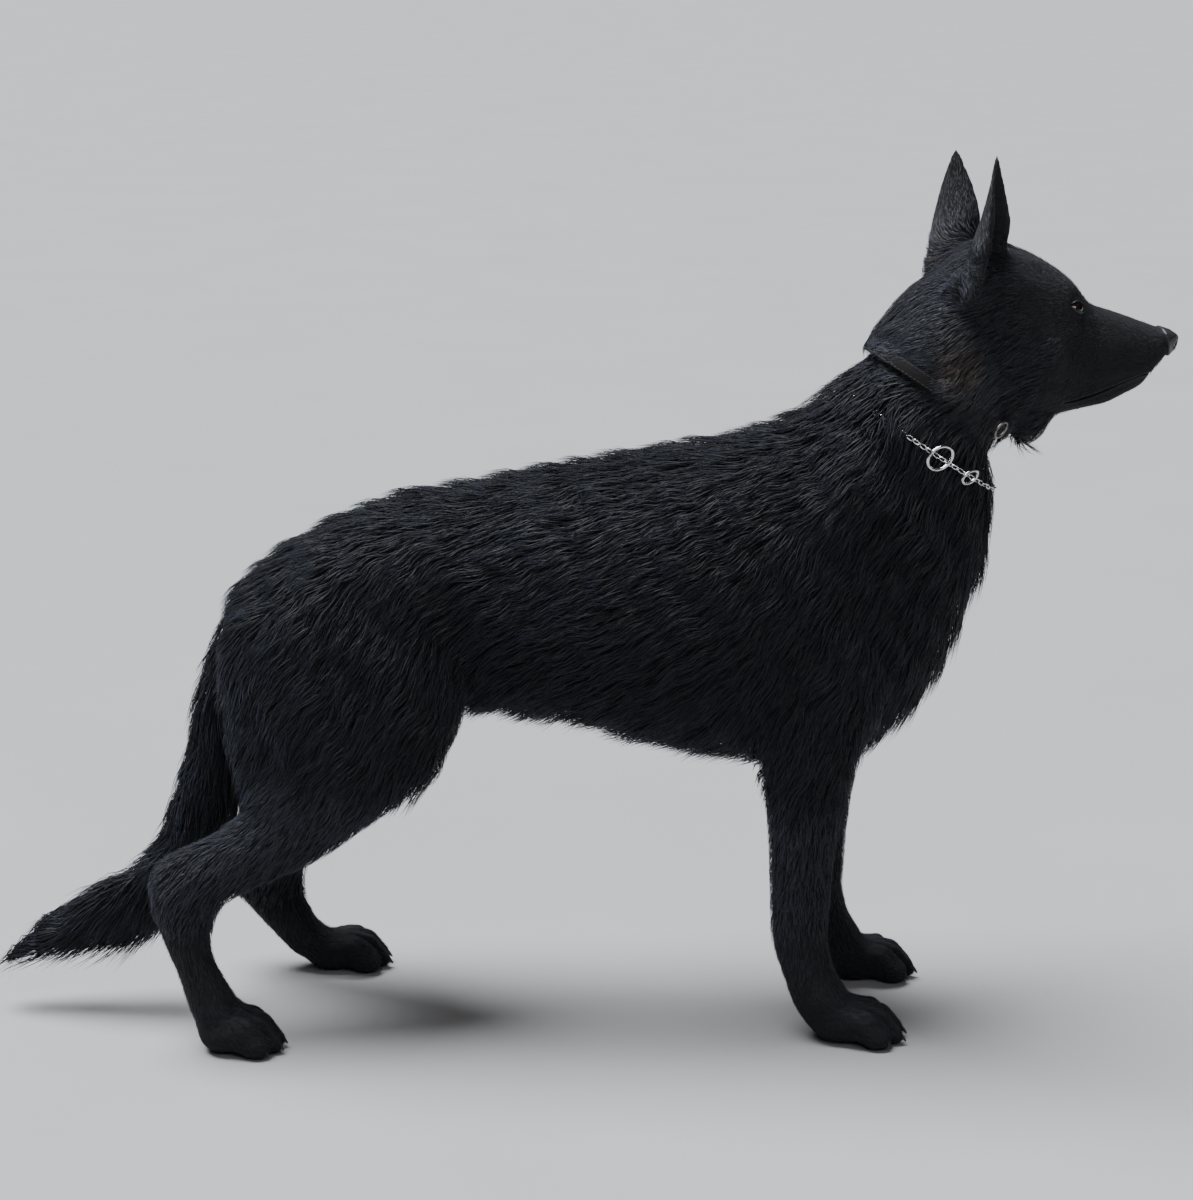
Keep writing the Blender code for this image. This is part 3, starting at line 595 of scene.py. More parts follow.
class Bench:
    """Short words for laying out shader nodes in one tree."""

    def __init__(self, tree):
        self.tree = tree

    def wire(self, value, socket):
        """Links a socket to another, or gives it a plain value."""
        if isinstance(value, bpy.types.NodeSocket):
            self.tree.links.new(value, socket)
        elif value is not None:
            socket.default_value = value

    def node(self, kind, inputs=(), **settings):
        """A node with its settings, and with its inputs wired."""
        made = self.tree.nodes.new(kind)
        for key, value in settings.items():
            setattr(made, key, value)
        for key, value in dict(inputs).items():
            self.wire(value, made.inputs[key])
        return made

    def place(self):
        """Where a point is in the row frame, in metres."""
        return self.node("ShaderNodeTexCoord").outputs["Object"]

    def attribute(self, name):
        """What the mesh keeps under a name."""
        return self.node("ShaderNodeAttribute", attribute_name=name).outputs["Fac"]

    def stretched(self, vector, scale):
        """A place scaled by a different amount each way, for streaks."""
        inputs = {"Vector": vector, "Scale": scale}
        return self.node("ShaderNodeMapping", inputs).outputs[0]

    def noise(self, vector, scale, detail=3.0, roughness=0.55):
        """Smooth noise from 0 to 1, around 0.5."""
        inputs = {"Vector": vector, "Scale": scale, "Detail": detail, "Roughness": roughness}
        return self.node("ShaderNodeTexNoise", inputs).outputs["Fac"]

    def calc(self, operation, *values):
        """The result of one step of arithmetic."""
        made = self.node("ShaderNodeMath", operation=operation)
        for value, socket in zip(values, made.inputs):
            self.wire(value, socket)
        return made.outputs[0]

    def span(self, value, low, high, to_low=0.0, to_high=1.0):
        """The value's run from low to high, eased onto the run from to_low to to_high."""
        inputs = {"Value": value, "From Min": low, "From Max": high, "To Min": to_low, "To Max": to_high}
        return self.node("ShaderNodeMapRange", inputs, interpolation_type="SMOOTHSTEP").outputs[0]

    def mix(self, share, first, second):
        """One colour turning to another as share goes from 0 to 1."""
        made = self.node("ShaderNodeMix", data_type="RGBA")
        self.wire(share, made.inputs[0])
        self.wire(coloured(first), made.inputs[6])
        self.wire(coloured(second), made.inputs[7])
        return made.outputs[2]

    def bump(self, height, strength, distance, normal=None):
        """A normal tilted by a height, on top of another normal."""
        inputs = {"Height": height, "Strength": strength, "Distance": distance, "Normal": normal}
        return self.node("ShaderNodeBump", inputs).outputs[0]

    def voronoi(self, scale, **settings):
        """Pebbles: how far a point is from the nearest of scattered centres."""
        inputs = {"Vector": self.place(), "Scale": scale}
        return self.node("ShaderNodeTexVoronoi", inputs, **settings).outputs["Distance"]

    def shared(self, name, make, inputs):
        """A shader group, which is built the first time that it is wanted."""
        tree = bpy.data.node_groups.get(name) or make(name)
        return self.node("ShaderNodeGroup", inputs, node_tree=tree).outputs


def coloured(colour):
    """A colour with its alpha, or the socket that a colour comes from."""
    return colour if isinstance(colour, bpy.types.NodeSocket) else (*colour, 1.0)


def new_material(name, **values):
    """A material with its Principled shader and a bench over its tree."""
    made = bpy.data.materials.new(name)
    made.use_nodes = True
    shader = made.node_tree.nodes["Principled BSDF"]
    for key, value in values.items():
        shader.inputs[key.replace("_", " ")].default_value = value
    return made, shader, Bench(made.node_tree)


# Colours of the small pieces, as red, green and blue shares of light.
PUPIL = (0.001, 0.001, 0.001)
IRIS_FLECK = (0.006, 0.003, 0.002)
IRIS_RING = (0.006, 0.004, 0.003)
EYEBALL = (0.016, 0.011, 0.009)
EYEBALL_VEIN = (0.008, 0.005, 0.004)
HORN = (0.010, 0.009, 0.009)
HORN_STREAK = (0.026, 0.022, 0.020)
HORN_WORN = (0.060, 0.052, 0.046)
LEATHER = (0.004, 0.0034, 0.0032)
LEATHER_LIGHT = (0.007, 0.006, 0.0055)
LEATHER_WORN = (0.018, 0.015, 0.013)
THREAD = (0.010, 0.009, 0.008)
THREAD_LIGHT = (0.022, 0.019, 0.016)
HAIR_ROUGHNESS = 0.62
# Bright metal, dirty metal and roughness.
CHAIN_STEEL = ((0.66, 0.66, 0.67), (0.34, 0.33, 0.32), 0.14)
DULL_STEEL = ((0.20, 0.19, 0.17), (0.07, 0.06, 0.05), 0.34)
# Where the coat fades to brown: centre and reach in the head's own millimetres, and how strongly.
BROWN_PATCHES = {
    "ruff": ((334, -62, 672), (24, 34, 36), 1.0),
    "ruff_left": ((334, 62, 672), (24, 34, 36), 1.0),
    "left_ear_back": ((330, 40, 775), (22, 34, 26), 0.70),
    "forehead": ((432, 0, 786), (30, 26, 12), 0.35),
    "throat": ((368, -42, 588), (26, 34, 24), 0.60),
}


def coat_colour_and_painted_light(name):
    """Near black, browner in the faded patches, and a little uneven, with painted shade where the tone is
    low and the short hair's colour lifted as a painted sheen. Skin and coat both wear it.
    """
    coat = bpy.context.scene.dog_coat
    tree, entry, leaving = group(
        name,
        [("Tone", "NodeSocketFloat", 0.5), ("Sleek", "NodeSocketFloat", 0.0)],
        [("Colour", "NodeSocketColor"), ("Brown", "NodeSocketFloat")],
    )
    bench = Bench(tree)
    place = bench.place()
    browned = None
    for centre, reach, strength in BROWN_PATCHES.values():
        back = tuple(-HEAD.into(centre))
        shrunk = tuple(1 / (MM * value) for value in reach)
        shift = bench.node("ShaderNodeVectorMath", {0: place, 1: back}, operation="ADD").outputs[0]
        near = bench.node("ShaderNodeVectorMath", {0: shift, 1: shrunk}, operation="MULTIPLY").outputs[0]
        far = bench.node("ShaderNodeVectorMath", {0: near}, operation="LENGTH").outputs["Value"]
        patch = bench.span(far, 0.35, 1.25, strength, 0.0)
        browned = patch if browned is None else bench.calc("MAXIMUM", browned, patch)
    uneven = bench.span(bench.noise(place, 34.0), 0.30, 0.62, 0.25, 1.0)
    browned = bench.calc("MULTIPLY", browned, uneven)
    cloudy = bench.span(bench.noise(place, 9.0), 0.3, 0.7, 0.75, 1.15)
    tone = bench.calc("MULTIPLY", entry.outputs["Tone"], cloudy)
    # Painted sheen: the short hair takes its lifted colour in place of the top colour.
    top = bench.mix(entry.outputs["Sleek"], coat.light, coat.sleek)
    # Painted shade: low tone, at roots and on lower-lying tufts, turns the colour to the dark shade colour
    # and weakens the brown there too.
    black = bench.mix(tone, coat.dark, top)
    brown = bench.calc("MULTIPLY", browned, bench.span(tone, 0.0, 1.0, 0.35, 1.0))
    bench.wire(bench.mix(brown, black, coat.brown), leaving.inputs["Colour"])
    bench.wire(browned, leaving.inputs["Brown"])
    return tree


def hair_material(name, gloss, bloom, sleek):
    """The tufts: darker towards the root and on the lower-lying tufts as painted shade, lighter along the
    length, glossy with a cool bloom.
    """
    made, shader, bench = new_material(
        name,
        Roughness=HAIR_ROUGHNESS,
        Specular_IOR_Level=gloss,
        Sheen_Weight=bloom,
        Sheen_Roughness=0.45,
        Sheen_Tint=(0.55, 0.68, 1.0, 1.0),
    )
    run = bench.attribute("run")
    tone = bench.attribute("tone")
    # Painted shade: the run along each tuft darkens it towards the root, where the coat shades itself.
    root_shaded_tone = bench.calc("MULTIPLY", bench.span(run, 0.0, 0.8, 0.25, 1.0), tone)
    colour = bench.shared("coat colour", coat_colour_and_painted_light, {"Tone": root_shaded_tone, "Sleek": sleek})["Colour"]
    rough = bench.span(tone, 0.0, 1.0, HAIR_ROUGHNESS + 0.07, HAIR_ROUGHNESS - 0.07)
    bench.wire(colour, shader.inputs["Base Color"])
    bench.wire(rough, shader.inputs["Roughness"])
    return made


def skin_material():
    """Black hide with fine short hair as bump, pebbled on the nose pad and smooth on lids and lips."""
    skin = bpy.context.scene.dog_skin
    made, shader, bench = new_material("shepherd skin", Specular_IOR_Level=0.26, Coat_Roughness=0.3)
    place = bench.place()
    pad = bench.attribute("nose_pad")
    bare = bench.attribute("bare")
    upright = bench.attribute("upright")
    lengthways = bench.noise(bench.stretched(place, (60, 420, 420)), 1.0, 4.0, 0.6)
    downwards = bench.noise(bench.stretched(place, (420, 420, 60)), 1.0, 4.0, 0.6)
    strands = bench.node("ShaderNodeMix", {0: upright, 2: lengthways, 3: downwards}).outputs[0]
    tone = bench.span(strands, 0.3, 0.7, 0.15, 1.0)
    # The hair on the skin wears the short hair's colour, lifted as a painted sheen.
    hair = bench.shared("coat colour", coat_colour_and_painted_light, {"Tone": tone, "Sleek": 1.0})["Colour"]
    smooth = bench.calc("MAXIMUM", pad, bare)
    hide = bench.mix(pad, skin.hide, skin.nose)
    rough = bench.calc("SUBTRACT", 0.85, bench.calc("MULTIPLY", smooth, 0.45))
    bench.wire(bench.mix(smooth, hair, hide), shader.inputs["Base Color"])
    bench.wire(rough, shader.inputs["Roughness"])
    bench.wire(bench.calc("MULTIPLY", smooth, 0.35), shader.inputs["Coat Weight"])
    hairy = bench.calc("SUBTRACT", 0.75, bench.calc("MULTIPLY", smooth, 0.7))
    fur_bump = bench.bump(strands, hairy, 0.0006)
    pebbles = bench.calc("MULTIPLY", bench.voronoi(950.0, feature="SMOOTH_F1"), pad)
    bench.wire(bench.bump(pebbles, 0.45, 0.0009, fur_bump), shader.inputs["Normal"])
    return made


def eye_material():
    """Dark brown iris around a black pupil, under a wet cornea."""
    eyes = bpy.context.scene.dog_eyes
    made, shader, bench = new_material("dark eye", Roughness=0.07, Specular_IOR_Level=0.5, Coat_Weight=0.5)
    polar = bench.attribute("polar")
    flecks = bench.noise(bench.place(), 900.0, 4.0, 0.7)
    iris = bench.mix(bench.span(flecks, 0.35, 0.65), eyes.iris, IRIS_FLECK)
    ball = bench.mix(bench.span(flecks, 0.3, 0.7), EYEBALL, EYEBALL_VEIN)
    ring = bench.mix(bench.span(polar, 31.0, 36.0), iris, IRIS_RING)
    outer = bench.mix(bench.span(polar, 37.0, 42.0), ring, ball)
    bench.wire(bench.mix(bench.span(polar, 12.5, 14.5), PUPIL, outer), shader.inputs["Base Color"])
    return made


def claw_material():
    """Black horn, streaked lengthwise, paler where it is worn at the tip."""
    made, shader, bench = new_material("black claw", Specular_IOR_Level=0.5)
    place = bench.place()
    streaks = bench.noise(bench.stretched(place, (90, 900, 900)), 1.0, 3.0)
    height = bench.node("ShaderNodeSeparateXYZ", {0: place}).outputs["Z"]
    horn = bench.mix(bench.span(streaks, 0.35, 0.7), HORN, HORN_STREAK)
    worn = bench.span(height, 0.001, 0.009, 0.55, 0.0)
    bench.wire(bench.mix(worn, horn, HORN_WORN), shader.inputs["Base Color"])
    bench.wire(bench.span(streaks, 0.3, 0.7, 0.28, 0.45), shader.inputs["Roughness"])
    bench.wire(bench.bump(streaks, 0.4, 0.0003), shader.inputs["Normal"])
    return made


def worn_edges(name):
    """A mask that is 1 on worn places: fine scratches broken up by a larger noise."""
    tree, entry, leaving = group(
        name,
        [("Fineness", "NodeSocketFloat", 400.0), ("Amount", "NodeSocketFloat", 0.5)],
        [("Mask", "NodeSocketFloat")],
    )
    bench = Bench(tree)
    place = bench.place()
    fine = bench.noise(place, entry.outputs["Fineness"], 5.0, 0.7)
    broad = bench.noise(place, 45.0)
    rubbed = bench.calc("MULTIPLY", bench.span(fine, 0.45, 0.72), bench.span(broad, 0.4, 0.65))
    bench.wire(bench.calc("MULTIPLY", rubbed, entry.outputs["Amount"]), leaving.inputs["Mask"])
    return tree


def leather_material():
    """Dark brown strap leather with a fine grain, rubbed lighter in places."""
    made, shader, bench = new_material("collar leather", Specular_IOR_Level=0.18)
    wear = bench.shared("wear", worn_edges, {"Fineness": 300.0})["Mask"]
    grain = bench.voronoi(1100.0)
    hide = bench.mix(bench.noise(bench.place(), 60.0), LEATHER, LEATHER_LIGHT)
    bench.wire(bench.mix(wear, hide, LEATHER_WORN), shader.inputs["Base Color"])
    bench.wire(bench.span(grain, 0.0, 0.6, 0.50, 0.70), shader.inputs["Roughness"])
    bench.wire(bench.bump(grain, 0.5, 0.0004), shader.inputs["Normal"])
    return made


def thread_material():
    """Waxed thread, twisted."""
    made, shader, bench = new_material("waxed thread", Roughness=0.6)
    twist = bench.noise(bench.place(), 1500.0, 2.0)
    bench.wire(bench.mix(twist, THREAD, THREAD_LIGHT), shader.inputs["Base Color"])
    bench.wire(bench.bump(twist, 0.5, 0.0003), shader.inputs["Normal"])
    return made


def steel_material(name, bright, dirty, rough):
    """Polished steel, slightly scuffed, darker where dirt sits."""
    made, shader, bench = new_material(name, Metallic=1.0)
    wear = bench.shared("wear", worn_edges, {"Fineness": 700.0})["Mask"]
    dirt = bench.span(bench.noise(bench.place(), 140.0), 0.42, 0.70)
    scuffed = bench.calc("ADD", rough, bench.calc("MULTIPLY", wear, 0.30))
    bench.wire(bench.mix(dirt, bright, dirty), shader.inputs["Base Color"])
    bench.wire(scuffed, shader.inputs["Roughness"])
    bench.wire(bench.bump(wear, 0.2, 0.0002), shader.inputs["Normal"])
    return made


# ---------------------------------------------------------------- the skin

# The closed lips in side view, from under the nose back to the corner, as (x, z) in the head's own frame.
MOUTH_LINE = ((556, 652.5), (535, 650.5), (510, 641.5), (488, 633.5), (465, 628), (452, 626))
LIP_HALF = 1.1  # half the width of the groove between the lips
LIP_SWELL = (3.0, 2.2)  # how far from the groove the lips stand proudest, and half their width
SWELL = 0.0006  # closes the cuts between the frame's nodes
TRUNK_FACES = 60_000  # the coat hides the skin here
HEAD_FACES = 50_000  # the back of the head and the feet
THICKNESS_SHARE = 0.34  # the coat takes no more than this share of a thin part from one side
THICKEST = 0.12  # as far as a part's thickness is looked for
JUST_INSIDE = 0.0008
NAPE = (0.272, 0.0, 0.712)  # where head and neck flow into each other, in the row frame
NAPE_REACH = 0.062
NOSE_BACK = 557.0  # where hair gives way to the nose pad
NOSE_SLOPE = 0.25  # how far the pad's back edge runs forward as it drops
NOSTRIL = (574.0, 8.6, 679.5)
NOSTRIL_REACH = (7.0, 4.2, 3.9)
# The cuts that open a nostril: middle, half sizes, and how far each is turned, in degrees.
NOSTRIL_CUTS = (
    ((574.5, 8.4, 679.8), (8.5, 3.3, 3.0), 30),
    ((569.5, 13.0, 676.4), (7.0, 1.5, 1.5), 62),
)
# The eyelids, in metres: how far over the ball they reach, and how deep the crease round them is.
LID_REACH = 0.0045
LID_CREASE = 0.0008
LID_TOOL = (0.022, 0.0035)  # from how far out, and to how near the ball's middle, the opening is cut
# The ears, in metres.
EAR_FOOT = 0.79  # an ear's blade is what stands above this
EAR_APART = 0.045  # how far from the middle of its blade an ear reaches sideways
EAR_RIM = 0.0054  # how far an ear's rims are pushed out again
EAR_FRONT = {"right": 0.0052, "left": 0.0}  # how far an ear's front rim is brought forward
EAR_TIP = 0.024  # how much of an ear's end is drawn out to its tip
EAR_TIP_ROWS = 9
# The toes, in metres: how high or deep each feature is, and how wide.
FOOT_REACH = 0.075
FOOT_TOP = 0.065
TOE_GROOVE = (0.0034, 0.0021)
TOE_CROWN = (0.0012, 0.0085)
KNUCKLE = (0.0018, 0.008)
KNUCKLE_BACK = 0.019  # from a claw's tip back to its knuckle
CLAW_SEAT = (0.0032, 0.0065)
CLAW_SEAT_BACK = 0.006


def eye_axes(side):
    """The way an eye looks, the way its slit runs back, and the way up across it, in the row frame."""
    out = unit(HEAD.way((0.56, 0.76 * side, 0.30)))
    back = unit(across(HEAD.way((-0.76, 0.52 * side, 0.34)), out))
    up = np.cross(back, out) * side
    return out, back, up * math.copysign(1.0, up[2])


def flesh_shell():
    """The flesh and the eyeballs, grown until the cuts close, as one remeshed shell."""
    skin = bpy.context.scene.dog_skin
    whole = bmesh.new()
    for node in FLESH + list(EYES):
        join_to(whole, merged(node, skin.lid if node in EYES else SWELL))
    shell = new_object("skin", mesh_from(whole, "skin"), skin_material())
    remesh = shell.modifiers.new("one_skin", "REMESH")
    remesh.mode = "VOXEL"
    remesh.voxel_size = skin.voxel
    mesh = settle(shell)
    places, edges = places_of(mesh), edges_of(mesh)
    ahead, aside, above = HEAD.out_of(places).T
    lightly = spread(places, edges, 12, 0.5, 0.52)
    ears = ramp(above, 768, 22) * ramp(ahead, 410, -15) * ramp(np.abs(aside), 32, 10)
    ears = np.maximum(ears, ramp(above, 792, 6) * (ahead > 0))
    nose = ramp(ahead, 545, 14)
    fine = np.maximum(ears, nose)[:, None]
    softly = spread(places, edges, 20)
    strongly = even(places, edges, 46)
    shaped = lightly * fine + strongly * (1 - fine)
    place(mesh, shaped + (softly - lightly) * ears[:, None])
    widen_ears(mesh, ears)
    shape_toes(mesh)
    return shell


def widen_ears(mesh, share):
    """Gives the ears' rims back what the smoothing took, and rounds off their tips."""
    places = places_of(mesh)
    edges = edges_of(mesh)
    outward = unit(spread(normals_of(mesh), edges, 3))
    blades = []
    for side in EAR_FRONT:
        blade = corners_of(f"ear_{side}")
        blade = blade[blade[:, 2] > EAR_FOOT]
        axes = main_axes(blade).T
        through, across_it, up = axes
        up *= math.copysign(1.0, up[2])
        across_it *= math.copysign(1.0, across_it[0])
        mine = share * (np.abs(places[:, 1] - blade[:, 1].mean()) < EAR_APART)
        rim = 1 - np.abs(outward @ through)
        places = places + outward * (EAR_RIM * rim * mine)[:, None]
        front = EAR_FRONT[side] * ramp(outward @ across_it, 0.1, 0.6) * rim
        front *= ramp(places[:, 2], 0.755, 0.05) * ramp(places[:, 2], 0.860, -0.06)
        places = places + across_it * (front * mine)[:, None]
        blades.append((blade[(blade @ up).argmax()], axes, mine > 0.9))
    calm = even(places, edges, 12)
    places = places + (calm - places) * share[:, None]
    for tip, axes, mine in blades:
        round_tip(places, tip, axes, np.flatnonzero(mine))
    calm = even(places, edges, 3)
    place(mesh, places + (calm - places) * share[:, None])


def round_tip(places, tip, axes, mine):
    """Draws the end of an ear out to a rounded tip."""
    own = (places[mine] - tip) @ axes.T
    near = own[:, 2] > -EAR_TIP
    mine, own = mine[near], own[near]
    height = own[:, 2].copy()
    top = height.max()
    levels = np.linspace(-EAR_TIP, top, EAR_TIP_ROWS + 1)
    centres = (levels[1:] + levels[:-1]) / 2
    rows = np.clip(np.digitize(height, levels) - 1, 0, EAR_TIP_ROWS - 1)
    lows = np.array([own[rows == k].min(0) for k in range(EAR_TIP_ROWS)])
    highs = np.array([own[rows == k].max(0) for k in range(EAR_TIP_ROWS)])
    share = np.clip((height - top) / (levels[0] - top), 0, 1)
    eased = ease((1 - share) / 0.35)
    for column, fullness in ((0, 0.4), (1, 0.62)):
        low = np.interp(height, centres, lows[:, column])
        high = np.interp(height, centres, highs[:, column])
        half = (highs[0, column] - lows[0, column]) / 2
        middle = (highs[0, column] + lows[0, column]) / 2
        beside = (own[:, column] - (high + low) / 2) / np.maximum((high - low) / 2, 1e-6)
        target = middle * share + beside * (half * share**fullness)
        own[:, column] += (target - own[:, column]) * eased
    own[:, 2] += (0.001 - top) * (1 - share) ** 2
    places[mine] = tip + own @ axes


def shape_toes(mesh):
    """Four toes on each foot, behind its four claws, with grooves between them and raised knuckles."""
    places = places_of(mesh)
    outward = unit(spread(normals_of(mesh), edges_of(mesh), 4))
    for foot in FEET:
        tips = np.array([node_middle(name) for name in CLAWS if foot in name])
        hub = np.array(node_middle(foot))
        ahead = tips.mean(0) - hub
        ahead = ahead * (1, 1, 0) / np.linalg.norm(ahead[:2])
        aside = np.cross((0, 0, 1), ahead)
        tips = tips[np.argsort(tips @ aside)]
        near = np.flatnonzero((lengths((places - hub)[:, :2]) < FOOT_REACH) & (places[:, 2] < FOOT_TOP))
        own = places[near]
        behind = (tips @ ahead).mean() - own @ ahead
        fan = np.clip(1 - 0.30 * behind / 0.045, 0.65, 1.05)
        middle = (tips @ aside).mean()
        spot = (own @ aside - middle) / fan
        toes = tips @ aside - middle
        grooves = (toes[1:] + toes[:-1]) / 2
        to_groove = np.abs(spot[:, None] - grooves[None]).min(1)
        apart = np.abs(spot[:, None] - toes[None])
        toe = apart.argmin(1)
        crown = np.clip(1 - (apart.min(1) / TOE_CROWN[1]) ** 2, 0, 1)
        to_knuckle = (tips @ ahead)[toe] - KNUCKLE_BACK - own @ ahead
        knuckle = bell(to_knuckle / KNUCKLE[1]) * (outward[near, 2] > 0)
        push = -TOE_GROOVE[0] * bell(to_groove / TOE_GROOVE[1])
        push = push + TOE_CROWN[0] * crown + KNUCKLE[0] * crown * knuckle
        push *= ramp(behind, 0.042, -0.016)
        for tip in tips:
            seat = tip - ahead * CLAW_SEAT_BACK
            push += CLAW_SEAT[0] * bell(lengths(own - seat) / CLAW_SEAT[1])
        places[near] = own + outward[near] * push[:, None]
    place(mesh, spread(places, edges_of(mesh), 1))


def thin_out(shell):
    """Fewer faces, first on the trunk, which the coat hides, and then on the plain parts of the rest."""
    for trunk_pass, kept, chosen_from in ((True, TRUNK_FACES, 0.5), (False, HEAD_FACES, 0.05)):
        mesh = shell.data
        places = places_of(mesh)
        ahead, _, above = HEAD.out_of(places).T
        on_head = ramp(ahead, 320, 40) * ramp(above, 585, 30)
        on_foot = ramp(places[:, 2], 0.070, -0.02) * 0.75
        if trunk_pass:
            spared = 1.0 - np.round(np.maximum(on_head, on_foot), 1)
        else:
            face = ramp(ahead, 425, 20) * ramp(above, 620, 15)
            ears = ramp(above, 750, 20) * ramp(ahead, 410, -15)
            spared = np.round(on_head * (1 - face) * (1 - ears) + 0.2 * on_foot, 1)
        chosen = shell.vertex_groups.new(name="spared")
        for weight in np.unique(spared):
            chosen.add([int(i) for i in np.flatnonzero(spared == weight)], float(weight), "REPLACE")
        count = sum(len(polygon.vertices) - 2 for polygon in mesh.polygons)
        starts = read(mesh.polygons, "loop_start", 1, np.int32)
        corners = read(mesh.loops, "vertex_index", 1, np.int32)
        share = (spared[corners[starts]] > chosen_from).mean()
        fewer = shell.modifiers.new("thin_out", "DECIMATE")
        fewer.ratio = min((kept + count * (1 - share)) / count, 1.0)
        fewer.vertex_group = chosen.name
        fewer.vertex_group_factor = 1.0
        settle(shell)
        shell.vertex_groups.clear()


def mouth_distance(mine):
    """How far places are from the line of the lips in side view, and how far above it, in millimetres."""
    far = np.full(len(mine), 1e9)
    above = np.zeros(len(mine))
    flat = mine[:, (0, 2)]
    for start, end in zip(MOUTH_LINE, MOUTH_LINE[1:]):
        start, run = np.array(start), np.subtract(end, start)
        share = np.clip(((flat - start) @ run) / (run @ run), 0, 1)
        apart = flat - (start + share[:, None] * run)
        reach = lengths(apart)
        closer = reach < far
        far = np.where(closer, reach, far)
        above = np.where(closer, apart[:, 1], above)
    return far, above


def refine_face(shell):
    """Finer faces round the eyes, the nose pad and the lips."""
    bm = bmesh.new()
    bm.from_mesh(shell.data)
    bm.verts.ensure_lookup_table()
    for eye_reach, nose_from, lip_reach in ((20, 545, 5.0), (14, 560, 1.5)):
        places = np.array([v.co for v in bm.verts])
        mine = HEAD.out_of(places)
        near = (mine[:, 0] > nose_from) & (mine[:, 2] > 640)
        lips = mouth_distance(mine)[0] < lip_reach
        near |= lips & (mine[:, 0] > 440)
        for node in EYES:
            near |= lengths(places - np.array(node_middle(node))) < eye_reach * MM
        chosen = [f for f in bm.faces if all(near[v.index] for v in f.verts)]
        edges = list({e for f in chosen for e in f.edges})
        bmesh.ops.subdivide_edges(bm, edges=edges, cuts=1, use_grid_fill=True)
        bmesh.ops.triangulate(bm, faces=[f for f in bm.faces if len(f.verts) > 3])
        bm.verts.index_update()
    bm.to_mesh(shell.data)
    bm.free()


def parts_of(places):
    """The flesh node that each place lies nearest to."""
    corners, faces, owner = [], [], []
    for number, node in enumerate(FLESH):
        bm = merged(node)
        start = len(corners)
        corners += [v.co.copy() for v in bm.verts]
        faces += [[v.index + start for v in f.verts] for f in bm.faces]
        owner += [number] * len(bm.faces)
        bm.free()
    tree = BVHTree.FromPolygons(corners, faces)
    return np.array([owner[tree.find_nearest(Vector(p))[2]] for p in places])


def groom(mesh):
    """Writes the lie, length, depth, density and width of the coat onto the skin's vertices."""
    places = places_of(mesh)
    edges = edges_of(mesh)
    part = parts_of(places)
    side = np.where(places[:, 1] < 0, -1.0, 1.0)
    rows = np.array([[*COAT[kind_of(node)][0], *COAT[kind_of(node)][1:]] for node in FLESH])
    table = rows[part]
    table[:, 1] *= side
    names = np.array(FLESH)[part]
    feet = np.isin(names, FEET)
    table = np.where(feet[:, None], spread(table, edges, 4), spread(table, edges, 16))
    mine = HEAD.out_of(places)
    heads = np.isin(names, ["head", "lower_jaw", "neck"])
    ears = np.char.startswith(names, "ear")
    others = heads | ears | np.char.startswith(names, "tail") | (names == "nose")
    trunks = ~others | (names == "neck")
    one = np.ones_like(side)
    spotted = ((HEAD_SPOTS, mine, heads), (EAR_SPOTS, mine, ears), (BODY_SPOTS, places / MM, trunks))
    for spots, own, where in spotted:
        for centre, reach, lie, length, depth, width in spots.values():
            gap = np.stack([own[:, 0] - centre[0], np.abs(own[:, 1]) - centre[1], own[:, 2] - centre[2]])
            share = np.exp(-(((gap**2).sum(0)) / reach**2) ** 1.5) * where
            wanted = np.empty_like(table)
            wanted[:, :3] = np.array(lie)[None] * np.stack([one, side, one], 1)
            wanted[:, 3], wanted[:, 4], wanted[:, 6] = length, depth, width
            wanted[:, 5] = np.interp(length, *DENSITY_BY_LENGTH) if own is mine else table[:, 5]
            table = table + (wanted - table) * share[:, None]
    turned = np.column_stack([table[:, :2] @ HEAD.axes[:2, :2], table[:, 2]])
    turning = ramp(mine[:, 0], 300, 90)[:, None] * heads[:, None]
    flow = table[:, :3] * (1 - turning) + turned * turning
    outward = unit(spread(normals_of(mesh), edges, 4))
    for _ in range(8):
        flow = across(spread(flow, edges, 2), outward)
    store(mesh, "part", "INT", part)
    store(mesh, "lie", "FLOAT_VECTOR", flow)
    for column, name in enumerate(COAT_FIELDS, 3):
        store(mesh, name, "FLOAT", table[:, column])


def sink_skin(mesh):
    """Draws the skin in by the coat's depth, less where a part is thin."""
    places, edges = places_of(mesh), edges_of(mesh)
    outward = unit(spread(normals_of(mesh), edges, 4))
    tree = BVHTree.FromPolygons([Vector(p) for p in places], [list(p.vertices) for p in mesh.polygons])
    depth = recall(mesh, "depth").astype(float) * MM
    limit = np.empty(len(places))
    for k, (spot, out) in enumerate(zip(places, outward)):
        inward = -Vector(out)
        hit = tree.ray_cast(Vector(spot) + inward * JUST_INSIDE, inward, THICKEST)[3]
        limit[k] = THICKNESS_SHARE * (hit if hit is not None else THICKEST)
    depth = spread(np.minimum(depth, limit), edges, 5)
    store(mesh, "depth", "FLOAT", depth / MM)
    sunk = places - outward * depth[:, None]
    calm = even(sunk, edges, 16)
    share = ramp(depth / MM, 2.5, 3.0)[:, None]
    sunk = sunk * (1 - share) + calm * share
    nape = np.exp(-((lengths(sunk - np.array(NAPE)) / NAPE_REACH) ** 4))[:, None]
    place(mesh, sunk * (1 - nape) + spread(sunk, edges, 70) * nape)


